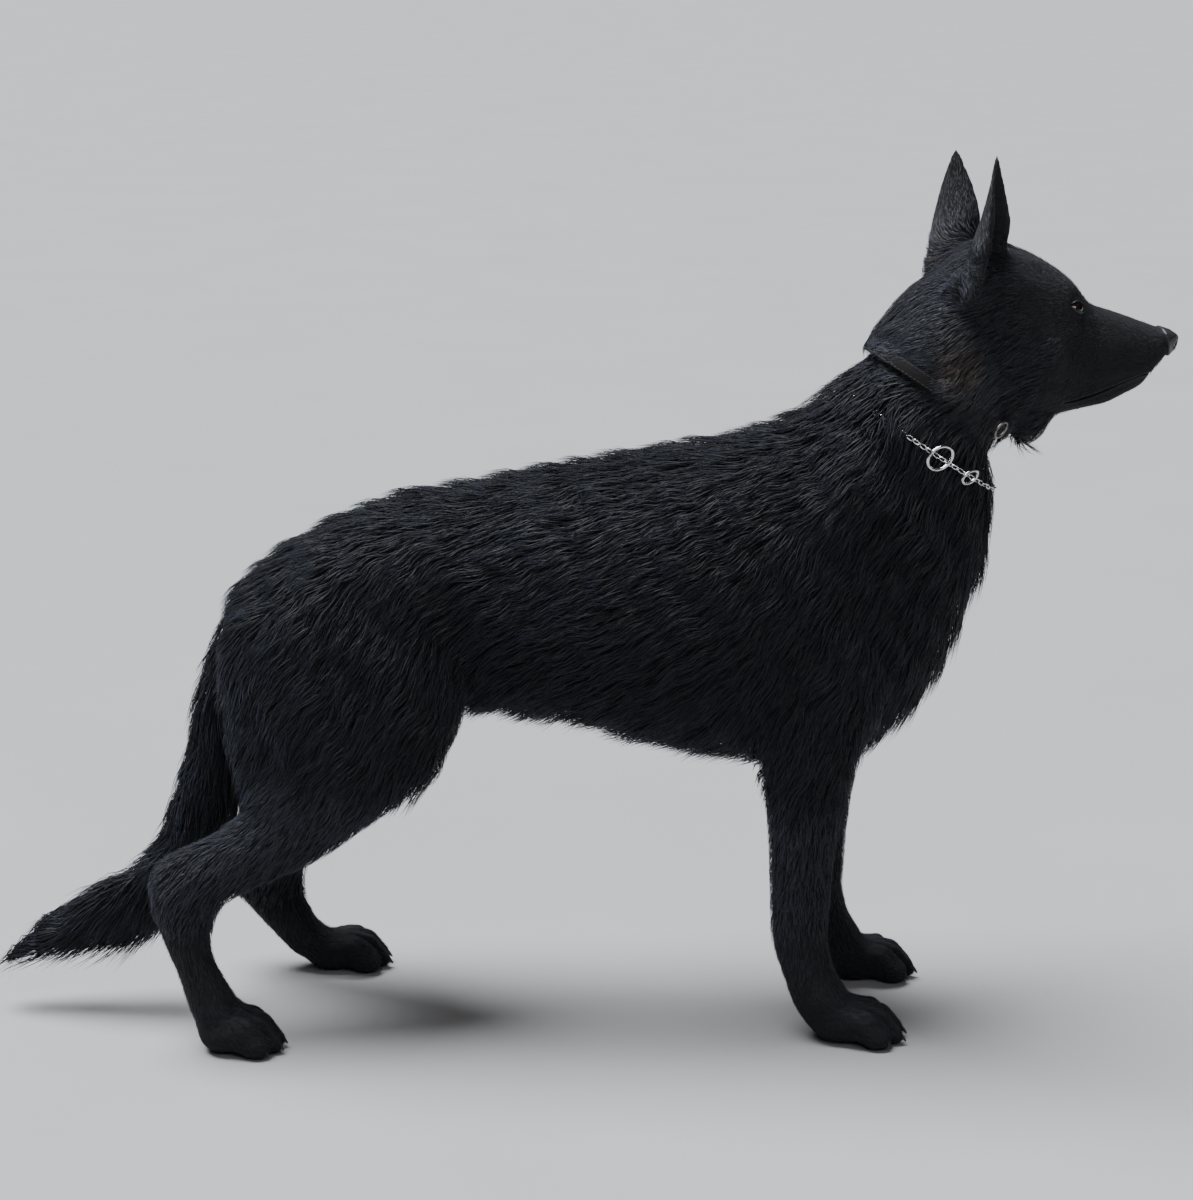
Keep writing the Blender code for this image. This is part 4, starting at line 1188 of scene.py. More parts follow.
def shape_face(mesh):
    """Works the lids over the eyeballs, the lips, the nose pad and the creases into the skin."""
    skin = bpy.context.scene.dog_skin
    places = places_of(mesh)
    edges = edges_of(mesh)
    mine = HEAD.out_of(places)
    near_face = (mine[:, 0] > 430) & (mine[:, 2] > 600)
    calm = spread(places, edges, 8, 0.5, 0.53)
    places = np.where(near_face[:, None], calm, places)
    outward = unit(spread(normals_of(mesh), edges, 2))
    mine = HEAD.out_of(places)
    ahead, aside, height = mine.T
    far, above = mouth_distance(mine)
    along = ramp(ahead, 446, 12)
    groove = -skin.lip_groove / MM * bell(far / LIP_HALF)
    groove += np.where(above > 0, 0.8, -0.2) * bell((far - LIP_SWELL[0]) / LIP_SWELL[1])
    push = groove * along * near_face
    on_pad = ahead - NOSE_BACK - (height - 690) * -NOSE_SLOPE
    pad = ease(on_pad / 2.0) * (height > 660) * near_face
    rim = bell(on_pad / 1.6) * (height > 660)
    push += -0.35 * rim * near_face + 0.9 * pad
    philtrum = bell(aside / 1.0) * ramp(ahead, 560, 6) * ramp(height, 684, -4)
    push += -1.1 * philtrum * near_face
    for side in (-1, 1):
        reach = (mine - np.array([NOSTRIL[0], NOSTRIL[1] * side, NOSTRIL[2]])) / np.array(NOSTRIL_REACH)
        wing = bell((lengths(reach) - 1.35) / 0.5)
        push += 0.7 * wing * ramp(ahead, 560, 4) * near_face
    places = places + outward * push[:, None] * MM
    bare = np.zeros(len(places))
    for side, node in zip((-1, 1), EYES):
        centre = np.array(node_middle(node))
        out, back, up = eye_axes(side)
        spoke = places - centre
        reach = lengths(spoke)
        facing = (spoke @ out) / np.maximum(reach, 1e-9)
        ball = bpy.context.scene.dog_eyes.radius + skin.lid
        close = (reach < ball + LID_REACH) & (facing > 0.05)
        wrap = ramp(reach, ball + LID_REACH, -LID_REACH) * ramp(facing, 0.05, 0.25) * close
        wrapped = centre + spoke / np.maximum(reach, 1e-9)[:, None] * ball
        u, v = (spoke @ back) / MM, (spoke @ up) / MM
        slit = np.sqrt((u / 12.5) ** 2 + (v / np.where(v > 0, 7.6, 6.2)) ** 2)
        crease = bell((slit - 1.0) / 0.13) * close
        places = places * (1 - wrap[:, None]) + wrapped * wrap[:, None]
        places = places - unit(spoke) * (crease * LID_CREASE)[:, None]
        bare = np.maximum(bare, ramp(slit, 1.0, -0.25) * close)
    lips = bell(far / 2.0) * along * near_face
    store(mesh, "nose_pad", "FLOAT", pad)
    store(mesh, "bare", "FLOAT", np.maximum(bare, lips))
    place(mesh, places)


def prism(outline, depth_from, depth_to, centre, axes):
    """A bmesh of an outline of (u, v) points drawn out along the first axis."""
    out, back, up = axes
    bm = bmesh.new()
    rim = [bm.verts.new(centre + out * depth_from + back * u + up * v) for u, v in outline]
    lid = bm.faces.new(rim)
    drawn = bmesh.ops.extrude_face_region(bm, geom=[lid])["geom"]
    moved = [g for g in drawn if isinstance(g, bmesh.types.BMVert)]
    bmesh.ops.translate(bm, verts=moved, vec=Vector(out * (depth_to - depth_from)))
    bmesh.ops.recalc_face_normals(bm, faces=bm.faces)
    return bm


def almond():
    """The lid opening: a fuller arch above, a flatter one below, and a drawn-out inner corner."""
    eyes = bpy.context.scene.dog_eyes
    half, height = eyes.slit_length / 2, eyes.slit_height
    outline = []
    for k in range(32):
        angle = math.tau * k / 32
        u, v = math.cos(angle), math.sin(angle)
        arch = 0.56 if v > 0 else 0.44
        pinch = 0.55 + 0.45 * (1 - abs(u) ** 2.6) ** 0.35
        slant = (0.0006 if u > 0 else -0.0008) * abs(u) ** 2
        outline.append((u * half, v * height * arch * pinch + slant))
    return outline


def open_face(shell):
    """Cuts the lid openings and the nostrils."""
    cutter = bmesh.new()
    yaw = math.atan2(HEAD.ahead.y, HEAD.ahead.x)
    for side, node in zip((-1, 1), EYES):
        centre = np.array(node_middle(node))
        join_to(cutter, prism(almond(), *LID_TOOL, centre, eye_axes(side)))
        for (ahead, aside, height), size, turn in NOSTRIL_CUTS:
            ball = bmesh.ops.create_uvsphere(cutter, u_segments=16, v_segments=10, radius=MM)["verts"]
            bmesh.ops.scale(cutter, verts=ball, vec=size)
            for angle in (math.radians(turn) * side, yaw):
                bmesh.ops.rotate(cutter, verts=ball, matrix=Matrix.Rotation(angle, 3, "Z"))
            spot = HEAD.into((ahead, aside * side, height))
            bmesh.ops.translate(cutter, verts=ball, vec=Vector(spot))
    tools = new_object("cutter", mesh_from(in_fixed_order(cutter), "cutter"), shell.data.materials[0])
    cut = shell.modifiers.new("open", "BOOLEAN")
    cut.operation = "DIFFERENCE"
    cut.solver = "EXACT"
    cut.object = tools
    settle(shell)
    bpy.data.objects.remove(tools)


def unwrap(thing, name):
    """Lays the mesh out flat on a map of its own shape."""
    bpy.ops.object.select_all(action="DESELECT")
    bpy.context.view_layer.objects.active = thing
    thing.select_set(True)
    layer = thing.data.uv_layers.new(name=name)
    thing.data.uv_layers.active = layer
    bpy.ops.object.mode_set(mode="EDIT")
    bpy.ops.mesh.select_all(action="SELECT")
    bpy.ops.uv.smart_project(angle_limit=1.15, island_margin=0.002, scale_to_bounds=True)
    bpy.ops.object.mode_set(mode="OBJECT")
    thing.select_set(False)


class MUSEUM_DOG_OT_skin(bpy.types.Operator):
    """Make the one skin that replaces the flesh"""

    bl_idname = "museum_dog.skin"
    bl_label = "Make skin"

    def execute(self, context):
        shell = flesh_shell()
        thin_out(shell)
        refine_face(shell)
        groom(shell.data)
        sink_skin(shell.data)
        shape_face(shell.data)
        open_face(shell)
        store(shell.data, "part", "INT", parts_of(places_of(shell.data)))
        upright = ease((np.abs(recall(shell.data, "lie", 3)[:, 2]) - 0.5) / 0.3)
        store(shell.data, "upright", "FLOAT", upright)
        unwrap(shell, "OFBake")
        finished(shell, "coat", *FLESH)
        return {"FINISHED"}


# ---------------------------------------------------------------- the coat

SEED = 7
TUFTS_IN_LOCK = 13
PIECE_TRIANGLES = 185_000  # a piece with more is made as a right and a left one
PATCH = 0.003  # side of a tuft's own patch on the unwrapped skin
BURIED = 0.0006  # how far a tuft's root lies under the skin
LOCK_WAVE = 0.046  # from crest to crest of the waves in long hair
# Steps along a tuft, by the longest hair in metres that they are used for.
STEPS_BY_LENGTH = ((0.0125, (0.0, 1.0)), (0.027, (0.0, 0.5, 1.0)), (1.0, (0.0, 0.28, 0.62, 1.0)))
# A tuft's thickness along its length, and its section as shares of its width.
TAPER = ((0, 0.35, 0.7, 1), (0.75, 1.0, 0.66, 0.26))
HALF_WIDE = 0.54
HALF_HIGH = 0.18
# These pieces wear the short hair's colour, lifted as a painted sheen.
SLEEK = ("coat_face", "coat_ears", "coat_forelegs", "coat_hind_legs")
# Where hair hangs free of the body: middle, reach and how far.
HANGING = {
    "throat": (HEAD.into((418, 0, 600)), 0.036, 0.40),
    "breeches": ((-0.330, 0.0, 0.300), 0.070, 0.15),
    "sheath": ((-0.060, 0.0, 0.300), 0.060, 0.20),
}


class Hide:
    """The skin's triangles, with all that the coat reads from them."""

    def __init__(self, skin):
        mesh = skin.data
        mesh.calc_loop_triangles()
        self.corners = read(mesh.loop_triangles, "vertices", 3, np.int32)
        self.loops = read(mesh.loop_triangles, "loops", 3, np.int32)
        self.places = places_of(mesh)
        edges = edges_of(mesh)
        self.normals = unit(spread(normals_of(mesh), edges, 3))
        self.lie = recall(mesh, "lie", 3)
        self.part = recall(mesh, "part")
        self.fields = np.stack([recall(mesh, name) for name in COAT_FIELDS], 1)
        self.bald = np.maximum(recall(mesh, "nose_pad"), recall(mesh, "bare"))
        self.map = read(mesh.uv_layers["OFBake"].uv, "vector", 2)
        a, b, c = (self.places[self.corners[:, k]] for k in range(3))
        self.areas = lengths(np.cross(b - a, c - a)) / 2
        self.tree = BVHTree.FromPolygons([Vector(p) for p in self.places], self.corners.tolist())

    def nearest(self, places):
        """The skin's nearest places, and which way is out there."""
        hits = [self.tree.find_nearest(p) for p in places.tolist()]
        spots = np.array([hit[0] for hit in hits])
        faces = np.array([hit[2] for hit in hits])
        return spots, unit(self.normals[self.corners[faces]].sum(1))

    def roots(self, nodes, draw):
        """Random root places on some nodes' skin, as many as the density asks for."""
        numbers = [k for k, node in enumerate(FLESH) if node in nodes]
        mine = np.isin(self.part[self.corners[:, 0]], numbers)
        density = self.fields[self.corners, 2].mean(1) * bpy.context.scene.dog_coat.density
        hairy = np.clip(1 - 1.6 * self.bald[self.corners].max(1), 0, 1)
        weights = self.areas * density * hairy * mine
        count = int(round(weights.sum() * 1e4))
        chosen = draw.choice(len(weights), count, p=weights / weights.sum())
        u, v = draw.random(count), draw.random(count)
        u, v = np.where(u + v > 1, 1 - u, u), np.where(u + v > 1, 1 - v, v)
        shares = np.stack([1 - u - v, u, v], 1)

        def at(values, index):
            """Values in the middle of triangles, from those at their corners."""
            return (values[index[chosen]] * shares[:, :, None]).sum(1)

        return Roots(
            at(self.places, self.corners),
            unit(at(self.normals, self.corners)),
            at(self.lie, self.corners),
            at(self.fields, self.corners),
            at(self.map, self.loops),
        )


class Roots:
    """Where tufts grow, how they lie there and how long, deep and wide they are."""

    def __init__(self, places, normals, lie, fields, spots):
        self.places, self.normals, self.fields, self.spots = places, normals, fields, spots
        self.lie = unit(across(lie, normals) + 0.0001)
        self.length, self.depth, _, self.width = (fields[:, k] * MM for k in range(4))
        self.length = self.length * bpy.context.scene.dog_coat.length

    def picked(self, chosen):
        """Only some of the roots."""
        kept = (self.places, self.normals, self.lie, self.fields, self.spots)
        return Roots(*(values[chosen] for values in kept))


def drift(places, wavelength, phase):
    """A smooth uneven field over space, between about -1 and 1."""
    k = math.tau / wavelength
    x, y, z = places.T
    first = np.sin(k * (x + 0.6 * z) + phase)
    second = np.sin(k * (0.9 * z - 0.5 * x + 0.4 * y) + 2.1 * phase + 1.0)
    third = np.sin(k * 1.7 * (0.5 * x + y) + 0.7 * phase)
    return (first + second + third) / 3


def turned_in_plane(ways, normals, angles):
    """Ways turned about the skin's normals."""
    return ways * np.cos(angles)[:, None] + np.cross(normals, ways) * np.sin(angles)[:, None]


def locks(hide, roots, steps, draw):
    """The centre line of every tuft, along the skin and drawn together into locks: tufts by steps by 3."""
    coat = bpy.context.scene.dog_coat
    count = len(roots.places)
    long_hair = ramp(roots.depth / MM, 5, 5)
    broad, narrow = drift(roots.places, 0.085, 1.3), drift(roots.places, 0.034, 4.0)
    angles = coat.swirl * broad + coat.swirl * 0.7 * narrow
    angles = angles * (0.5 + 0.5 * long_hair) + coat.stray * draw.standard_normal(count)
    ways = turned_in_plane(roots.lie, roots.normals, angles)
    layer = draw.random(count)
    flow = (roots.places * (1.0, 0.25, 0.55)).sum(1)
    waves = np.sin(math.tau * flow / LOCK_WAVE + 2.6 * drift(roots.places, 0.12, 0.4))
    rise = roots.depth * (0.54 + 0.50 * layer) * (1 + coat.ripple * waves * long_hair)
    reach = roots.length * (0.70 + 0.45 * draw.random(count))
    under = ramp(roots.normals[:, 2], 0.10, -0.7)
    behind = ramp(roots.normals[:, 0], -0.35, -0.4)
    hang = long_hair * under * (0.08 + 0.27 * draw.random(count))
    for middle, wide, amount in HANGING.values():
        gap = lengths(roots.places - np.array(middle)) / wide
        hang = hang + amount * bell(gap) * (0.4 + 0.6 * draw.random(count))
    loose = long_hair * np.maximum(0.55 * under, 0.35 * behind)
    lines = np.empty((count, len(steps), 3))
    spot, out, way = roots.places.copy(), roots.normals.copy(), ways.copy()
    last = 0.0
    for k, t in enumerate(steps):
        if k:
            spot, out = hide.nearest(spot + way * (reach * (t - last))[:, None])
            way = unit(across(way, out))
        straight = roots.places + ways * (reach * t)[:, None]
        base = spot + (straight - spot) * loose[:, None]
        up = rise * (1 - (1 - t) ** 2.4) - BURIED * (t == 0)
        lines[:, k] = base + out * up[:, None]
        lines[:, k, 2] -= hang * reach * t**1.6
        last = t
    aside = np.cross(roots.normals, ways)
    flow = (lines * (1.0, 0.3, 0.7)).sum(-1)
    wave = np.sin(math.tau * flow / LOCK_WAVE + 2.4 * drift(roots.places, 0.15, 2.2)[:, None])
    wave = (wave - wave[:, :1]) * (coat.wave * long_hair)[:, None]
    bend = (roots.length * 0.07 * draw.standard_normal(count))[:, None] * np.square(steps)[None]
    lines += aside[:, None, :] * (wave + bend)[:, :, None]
    return gather_up(roots, lines, reach, draw), layer, waves


def gather_up(roots, lines, reach, draw):
    """Draws the tips together towards the middle tuft of each lock."""
    coat = bpy.context.scene.dog_coat
    count = len(lines)
    leads = draw.choice(count, max(count // TUFTS_IN_LOCK, 1), replace=False)
    tree = KDTree(len(leads))
    for number, lead in enumerate(leads):
        tree.insert(roots.places[lead], number)
    tree.balance()
    lead = np.array([leads[tree.find(p)[1]] for p in roots.places])
    steps = lines.shape[1]
    pull = coat.gather * (np.arange(steps) / (steps - 1)) ** 1.4
    apart = lengths(roots.places - roots.places[lead])
    near = np.clip(1.4 - apart / np.maximum(reach * 0.35, 1e-6), 0, 1)
    sideways = lines[lead] - lines
    ways = unit(lines[:, -1] - lines[:, 0])[:, None, :]
    sideways -= ways * (sideways * ways).sum(-1, keepdims=True) * 0.6
    return lines + sideways * (pull[None, :, None] * near[:, None, None])


class Tufts:
    """Closed three-sided tapering spikes, gathered from arrays of centre lines into one mesh."""

    def __init__(self):
        self.verts, self.corners, self.run, self.tone, self.spots = [], [], [], [], []
        self.count = 0

    def add(self, lines, roots, tone):
        """Spikes around centre lines, with three corners at each step and a point at the end."""
        count, steps, _ = lines.shape
        rings = steps - 1
        size = rings * 3 + 1
        ways = unit(np.gradient(lines, axis=1)) if steps > 2 else unit(np.diff(lines, axis=1))
        wide = unit(np.cross(ways, roots.normals[:, None, :]))
        high = np.cross(wide, ways)
        girth = roots.width[:, None] * np.interp(np.arange(rings) / rings, *TAPER)[None]
        spin = np.linspace(0, math.tau * 997, count)
        verts = np.empty((count, size, 3), np.float32)
        for k in range(rings):
            for j in range(3):
                angle = spin + math.tau * j / 3
                sideways = wide[:, k] * np.cos(angle)[:, None] * HALF_WIDE
                ring = sideways + high[:, k] * np.sin(angle)[:, None] * HALF_HIGH
                verts[:, k * 3 + j] = lines[:, k] + ring * girth[:, k][:, None]
        verts[:, -1] = lines[:, -1]
        firsts = np.arange(count, dtype=np.int32) * size
        corners = (self.faces(rings)[None] + firsts[:, None, None]).reshape(-1)
        run = np.append(np.repeat(np.arange(rings) / rings, 3), 1.0)
        angle = np.append(np.tile(math.tau * np.arange(3) / 3, rings), 0.0)
        patch = np.stack([np.cos(angle) * (1.05 - run), (run - 0.5) * 2], 1) * PATCH / 2
        spots = (roots.spots[:, None, :] + patch[None]).reshape(-1, 2).astype(np.float32)
        self.verts.append(verts.reshape(-1, 3))
        self.corners.append(corners + self.count)
        self.run.append(np.tile(run, count))
        self.tone.append(np.repeat(tone, size))
        self.spots.append(np.clip(spots[corners], 0, 1))
        self.count += count * size

    @staticmethod
    def faces(rings):
        """The triangles of one closed spike: its root, its sides and its point."""
        found = [(0, 2, 1)]
        for k in range(rings - 1):
            for j in range(3):
                a, b = k * 3 + j, k * 3 + (j + 1) % 3
                found += [(a, b, b + 3), (a, b + 3, a + 3)]
        last = (rings - 1) * 3
        found += [(last + j, last + (j + 1) % 3, rings * 3) for j in range(3)]
        return np.array(found, np.int32)

    def mesh(self, name):
        mesh = bpy.data.meshes.new(name)
        corners = np.concatenate(self.corners)
        mesh.vertices.add(self.count)
        mesh.vertices.foreach_set("co", np.concatenate(self.verts).ravel())
        mesh.loops.add(len(corners))
        mesh.loops.foreach_set("vertex_index", corners)
        mesh.polygons.add(len(corners) // 3)
        mesh.polygons.foreach_set("loop_start", np.arange(0, len(corners), 3, dtype=np.int32))
        mesh.update(calc_edges=True)
        mesh.uv_layers.new(name="OFBake").uv.foreach_set("vector", np.concatenate(self.spots).ravel())
        store(mesh, "run", "FLOAT", np.concatenate(self.run))
        store(mesh, "tone", "FLOAT", np.concatenate(self.tone))
        return mesh


def in_lengths(roots):
    """The roots in groups of like hair length, with the steps that each group's tufts are made with."""
    shortest = 0.0
    for longest, steps in STEPS_BY_LENGTH:
        yield roots.picked((roots.length >= shortest) & (roots.length < longest)), steps
        shortest = longest


def triangles_for(roots):
    """How many triangles the tufts of some roots come to."""
    return sum(len(some.places) * (6 * len(steps) - 8) for some, steps in in_lengths(roots))


def grow(hide, roots, holds, draw):
    """All tufts of some roots."""
    tufts = Tufts()
    for some, steps in in_lengths(roots):
        if not len(some.places):
            continue
        lines, layer, waves = locks(hide, some, steps, draw)
        for hold in holds:
            hold.press(lines, some)
        # The tone carries painted light: lower-lying tufts darker as painted shade, wave crests lighter as
        # a painted sheen, and a random spread on top.
        tone = 0.25 + 0.50 * layer + 0.10 * waves + 0.10 * draw.standard_normal(len(layer))
        tufts.add(lines, some, np.clip(tone, 0, 1))
    return tufts


class MUSEUM_DOG_OT_coat(bpy.types.Operator):
    """Grow the coat's tufts from the skin"""

    bl_idname = "museum_dog.coat"
    bl_label = "Grow coat"

    def execute(self, context):
        skin = bpy.data.objects.get("skin")
        if skin is None:
            raise RuntimeError("the coat needs the skin: make the skin first")
        hide = Hide(skin)
        hair = hair_material("shepherd coat", 0.30, 0.07, 0.0)
        sleek = hair_material("shepherd short coat", 0.46, 0.10, 1.0)
        holds = [Hold(node, *how) for node, how in HOLDS.items()]
        for number, (name, nodes) in enumerate(COAT_PIECES.items()):
            draw = np.random.default_rng(SEED + number)
            roots = hide.roots(nodes, draw)
            right = roots.places[:, 1] < 0
            halves = {"": right | True}
            if triangles_for(roots) > PIECE_TRIANGLES:
                halves = {"_right": right, "_left": ~right}
            for side, chosen in halves.items():
                mesh = grow(hide, roots.picked(chosen), holds, draw).mesh(name + side)
                made = new_object(name + side, mesh, sleek if name in SLEEK else hair)
                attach(made, "root")
        return {"FINISHED"}


# ---------------------------------------------------------------- eyes and claws

CORNEA_BULGE = 0.055  # share of the ball's radius
CORNEA_EDGE = 42  # degrees from the pupil's middle
CLAW_SWELL = 0.0003


class MUSEUM_DOG_OT_eyes(bpy.types.Operator):
    """Make the eyeballs with a cornea and iris"""

    bl_idname = "museum_dog.eyes"
    bl_label = "Make eyes"

    def execute(self, context):
        eyes = context.scene.dog_eyes
        mat = eye_material()
        for side, node in zip((-1, 1), EYES):
            out, back, up = (Vector(v) for v in eye_axes(side))
            bm = bmesh.new()
            bmesh.ops.create_uvsphere(bm, u_segments=48, v_segments=32, radius=eyes.radius)
            polar = []
            for vertex in bm.verts:
                angle = vertex.co.angle(Vector((0, 0, 1)))
                polar.append(math.degrees(angle))
                bulge = float(ramp(angle, math.radians(CORNEA_EDGE), -math.radians(30)))
                vertex.co *= 1 + CORNEA_BULGE * bulge
            turn = Matrix((back, up * side, out)).transposed()
            bmesh.ops.rotate(bm, verts=bm.verts, matrix=turn)
            bmesh.ops.translate(bm, verts=bm.verts, vec=node_middle(node))
            bmesh.ops.recalc_face_normals(bm, faces=bm.faces)
            mesh = mesh_from(bm, node)
            store(mesh, "polar", "FLOAT", polar)
            finished(new_object(f"{node}ball", mesh, mat), "eye", node)
        return {"FINISHED"}


class MUSEUM_DOG_OT_claws(bpy.types.Operator):
    """Round off the claws, a piece for each foot"""

    bl_idname = "museum_dog.claws"
    bl_label = "Make claws"

    def execute(self, context):
        mat = claw_material()
        for foot in FEET:
            nodes = [name for name in CLAWS if foot in name]
            whole = bmesh.new()
            for node in nodes:
                join_to(whole, merged(node, CLAW_SWELL))
            made = new_object(f"claws_{foot}", mesh_from(whole, "claws"), mat)
            rounded = made.modifiers.new("rounded", "SUBSURF")
            rounded.levels = rounded.render_levels = 2
            settle(made)
            finished(made, "claw", *nodes)
        return {"FINISHED"}


# ---------------------------------------------------------------- the collars

SPOKES = 90  # how many places a collar's line is read at
FAR_OUT = 0.4  # outside every collar, from its middle
SUNK_LINKS = 0.0105  # how deep the hidden part of the chain lies in the coat
SUNK_BEHIND = (0.312, -0.014)  # the links sink behind this place on the dog, over this length
LINK_ROLL = 42  # degrees that links turn in and out by turns
LINK_OVERLAP = 2.6  # how far links reach into each other, in wires
CHAIN_RINGS = ("chain_ring", "chain_end_ring")
RING_WIRE = 0.92  # a ring's wire as a share of its frame node's
STRAP_HALF = 0.0065
STRAP_THICK = 0.0015
STRAP_CORNER = 0.0011
STITCH_INSET = 0.0018
STITCH_RADIUS = 0.00042
# How collars hold the hair: half their width, how high over their line it may stand under them, how fast
# it may rise beside them, and the stretch of the dog in which the hold sets in. Then how much of the hair
# that grows above falls over them, from -1, hardly any, to 1, all, and how high that hair lies.
HOLDS = {
    "collar_chain": (0.0030, -0.0016, 0.90, (0.300, 0.318), -9.0, 0.0060),
    "collar_strap": (0.0060, -0.0010, 3.00, (0.292, 0.316), 0.70, 0.0034),
}
HOLD_REACH = 0.03
HELD_AT_ONCE = 20_000  # so many places are compared with a collar's line at a time


class Ring:
    """The closed line that a collar node follows, read from its mesh: its plane, middle and samples."""

    def __init__(self, node):
        bm = merged(node)
        places = np.array([v.co for v in bm.verts])
        tree = BVHTree.FromBMesh(bm)
        bm.free()
        self.middle = places.mean(0)
        axis = main_axes(places)[:, 0]
        self.axis = axis * math.copysign(1.0, axis[2])
        first = unit(across(np.array([[1.0, 0.0, 0.0]]), self.axis[None]))[0]
        second = np.cross(self.axis, first)
        turns = np.arange(SPOKES) * math.tau / SPOKES
        self.out = np.outer(np.cos(turns), first) + np.outer(np.sin(turns), second)
        reach = []
        for spoke in self.out:
            start = Vector(self.middle + spoke * FAR_OUT)
            inner = tree.ray_cast(Vector(self.middle), Vector(spoke))[3]
            outer = FAR_OUT - tree.ray_cast(start, -Vector(spoke))[3]
            reach.append((inner + outer) / 2)
        reach = np.array(reach)
        for _ in range(3):
            reach = (np.roll(reach, 1) + 2 * reach + np.roll(reach, -1)) / 4
        self.places = self.middle + self.out * reach[:, None]
        self.along = unit(np.roll(self.places, -1, 0) - np.roll(self.places, 1, 0))
        self.out = unit(across(self.out, self.along))

    def resampled(self, count):
        """Evenly spaced places, outward ways and ways along, all round the line, and its length."""
        steps = lengths(np.roll(self.places, -1, 0) - self.places)
        run = np.append(0, np.cumsum(steps))
        wanted = np.arange(count) * run[-1] / count
        closed = [np.vstack([v, v[:1]]) for v in (self.places, self.out, self.along)]
        rows = [np.stack([np.interp(wanted, run, c[:, k]) for k in range(3)], 1) for c in closed]
        return rows[0], unit(rows[1]), unit(rows[2]), run[-1]


class Hold:
    """Presses hair down where a collar lies over it, and lays other hair over the collar."""

    def __init__(self, node, half_width, level, slope, front, cover, above):
        ring = Ring(node)
        self.places, self.out, _, _ = ring.resampled(120)
        self.axis = ring.axis
        self.half_width, self.level, self.slope = half_width, level, slope
        self.cover, self.above = cover, above
        self.strength = ramp(self.places[:, 0], front[0], front[1] - front[0])

    def press(self, lines, roots):
        """Moves the centre lines of tufts near the collar, in place."""
        flat = lines.reshape(-1, 3)
        steps = lines.shape[1]
        owner = np.repeat(np.arange(len(lines)), steps)
        low, high = self.places.min(0) - HOLD_REACH, self.places.max(0) + HOLD_REACH
        inside = np.flatnonzero(((flat > low) & (flat < high)).all(1))
        moved = np.zeros_like(flat)
        for start in range(0, len(inside), HELD_AT_ONCE):
            chosen = inside[start : start + HELD_AT_ONCE]
            moved[chosen] = self.shift(flat[chosen], roots.places[owner[chosen]], chosen % steps > 0)
        moved = moved.reshape(lines.shape)
        if steps > 3:
            eased = moved.copy()
            eased[:, 1:-1] = (moved[:, :-2] + 2 * moved[:, 1:-1] + moved[:, 2:]) / 4
            eased[:, -1] = (moved[:, -2] + moved[:, -1]) / 2
            moved = np.where(np.linalg.norm(eased, axis=2, keepdims=True) > 0, eased, moved)
        lines += moved

    def shift(self, places, starts, free):
        """How far hair at places moves, from where it starts. Only what is free may be lifted."""
        gap, nearest = self.gap(places)
        root_gap, _ = self.gap(starts)
        out = self.out[nearest]
        height = (gap * out).sum(1)
        beside = np.maximum(np.abs(gap @ self.axis) - self.half_width, 0)
        from_above = root_gap @ self.axis
        falls = (from_above > self.half_width) & (drift(starts, 0.05, 3.0) < self.cover)
        held = self.strength[nearest] * ~falls
        over = np.maximum(height - self.level - beside * self.slope, 0) * (beside < HOLD_REACH) * held
        lift = np.clip(self.above - height, 0, 0.008) * ramp(beside, 0.012, -0.010) * (1 - held)
        lift *= free & (from_above > 0) & (height > -0.012)
        return out * (lift - over)[:, None]

    def gap(self, places):
        """The way to places from the nearest place on the line, and that place's number."""
        apart = places[:, None, :] - self.places[None]
        nearest = (apart**2).sum(-1).argmin(1)
        return apart[np.arange(len(places)), nearest], nearest


def ring_of_wire(bm, middle, axis, first, reaches, wire, around, sides):
    """A round or oval ring of wire, spun from a circle of its section and drawn out along first."""
    long_reach, wide_reach = reaches
    start = len(bm.verts)
    section = bmesh.ops.create_circle(bm, cap_ends=False, segments=sides, radius=wire)["verts"]
    bmesh.ops.rotate(bm, verts=section, matrix=Matrix.Rotation(math.pi / 2, 3, "X"))
    bmesh.ops.translate(bm, verts=section, vec=(wide_reach, 0, 0))
    edges = list({e for v in section for e in v.link_edges})
    spun = {"cent": (0, 0, 0), "axis": (0, 0, 1), "angle": math.tau, "steps": around, "use_merge": True}
    bmesh.ops.spin(bm, geom=section + edges, **spun)
    bm.verts.ensure_lookup_table()
    fresh = bm.verts[start:]
    for vertex in fresh:
        hub = Vector((vertex.co.x, vertex.co.y, 0)).normalized()
        vertex.co += Vector((hub.x * (long_reach - wide_reach), 0, 0))
    bmesh.ops.rotate(bm, verts=fresh, matrix=Matrix((first, axis.cross(first), axis)).transposed())
    bmesh.ops.translate(bm, verts=fresh, vec=middle)


def finished_rings(bm, name, mat, node):
    """One steel piece from a bmesh of rings."""
    bmesh.ops.recalc_face_normals(bm, faces=bm.faces)
    finished(new_object(name, mesh_from(bm, name), mat), "steel", node)


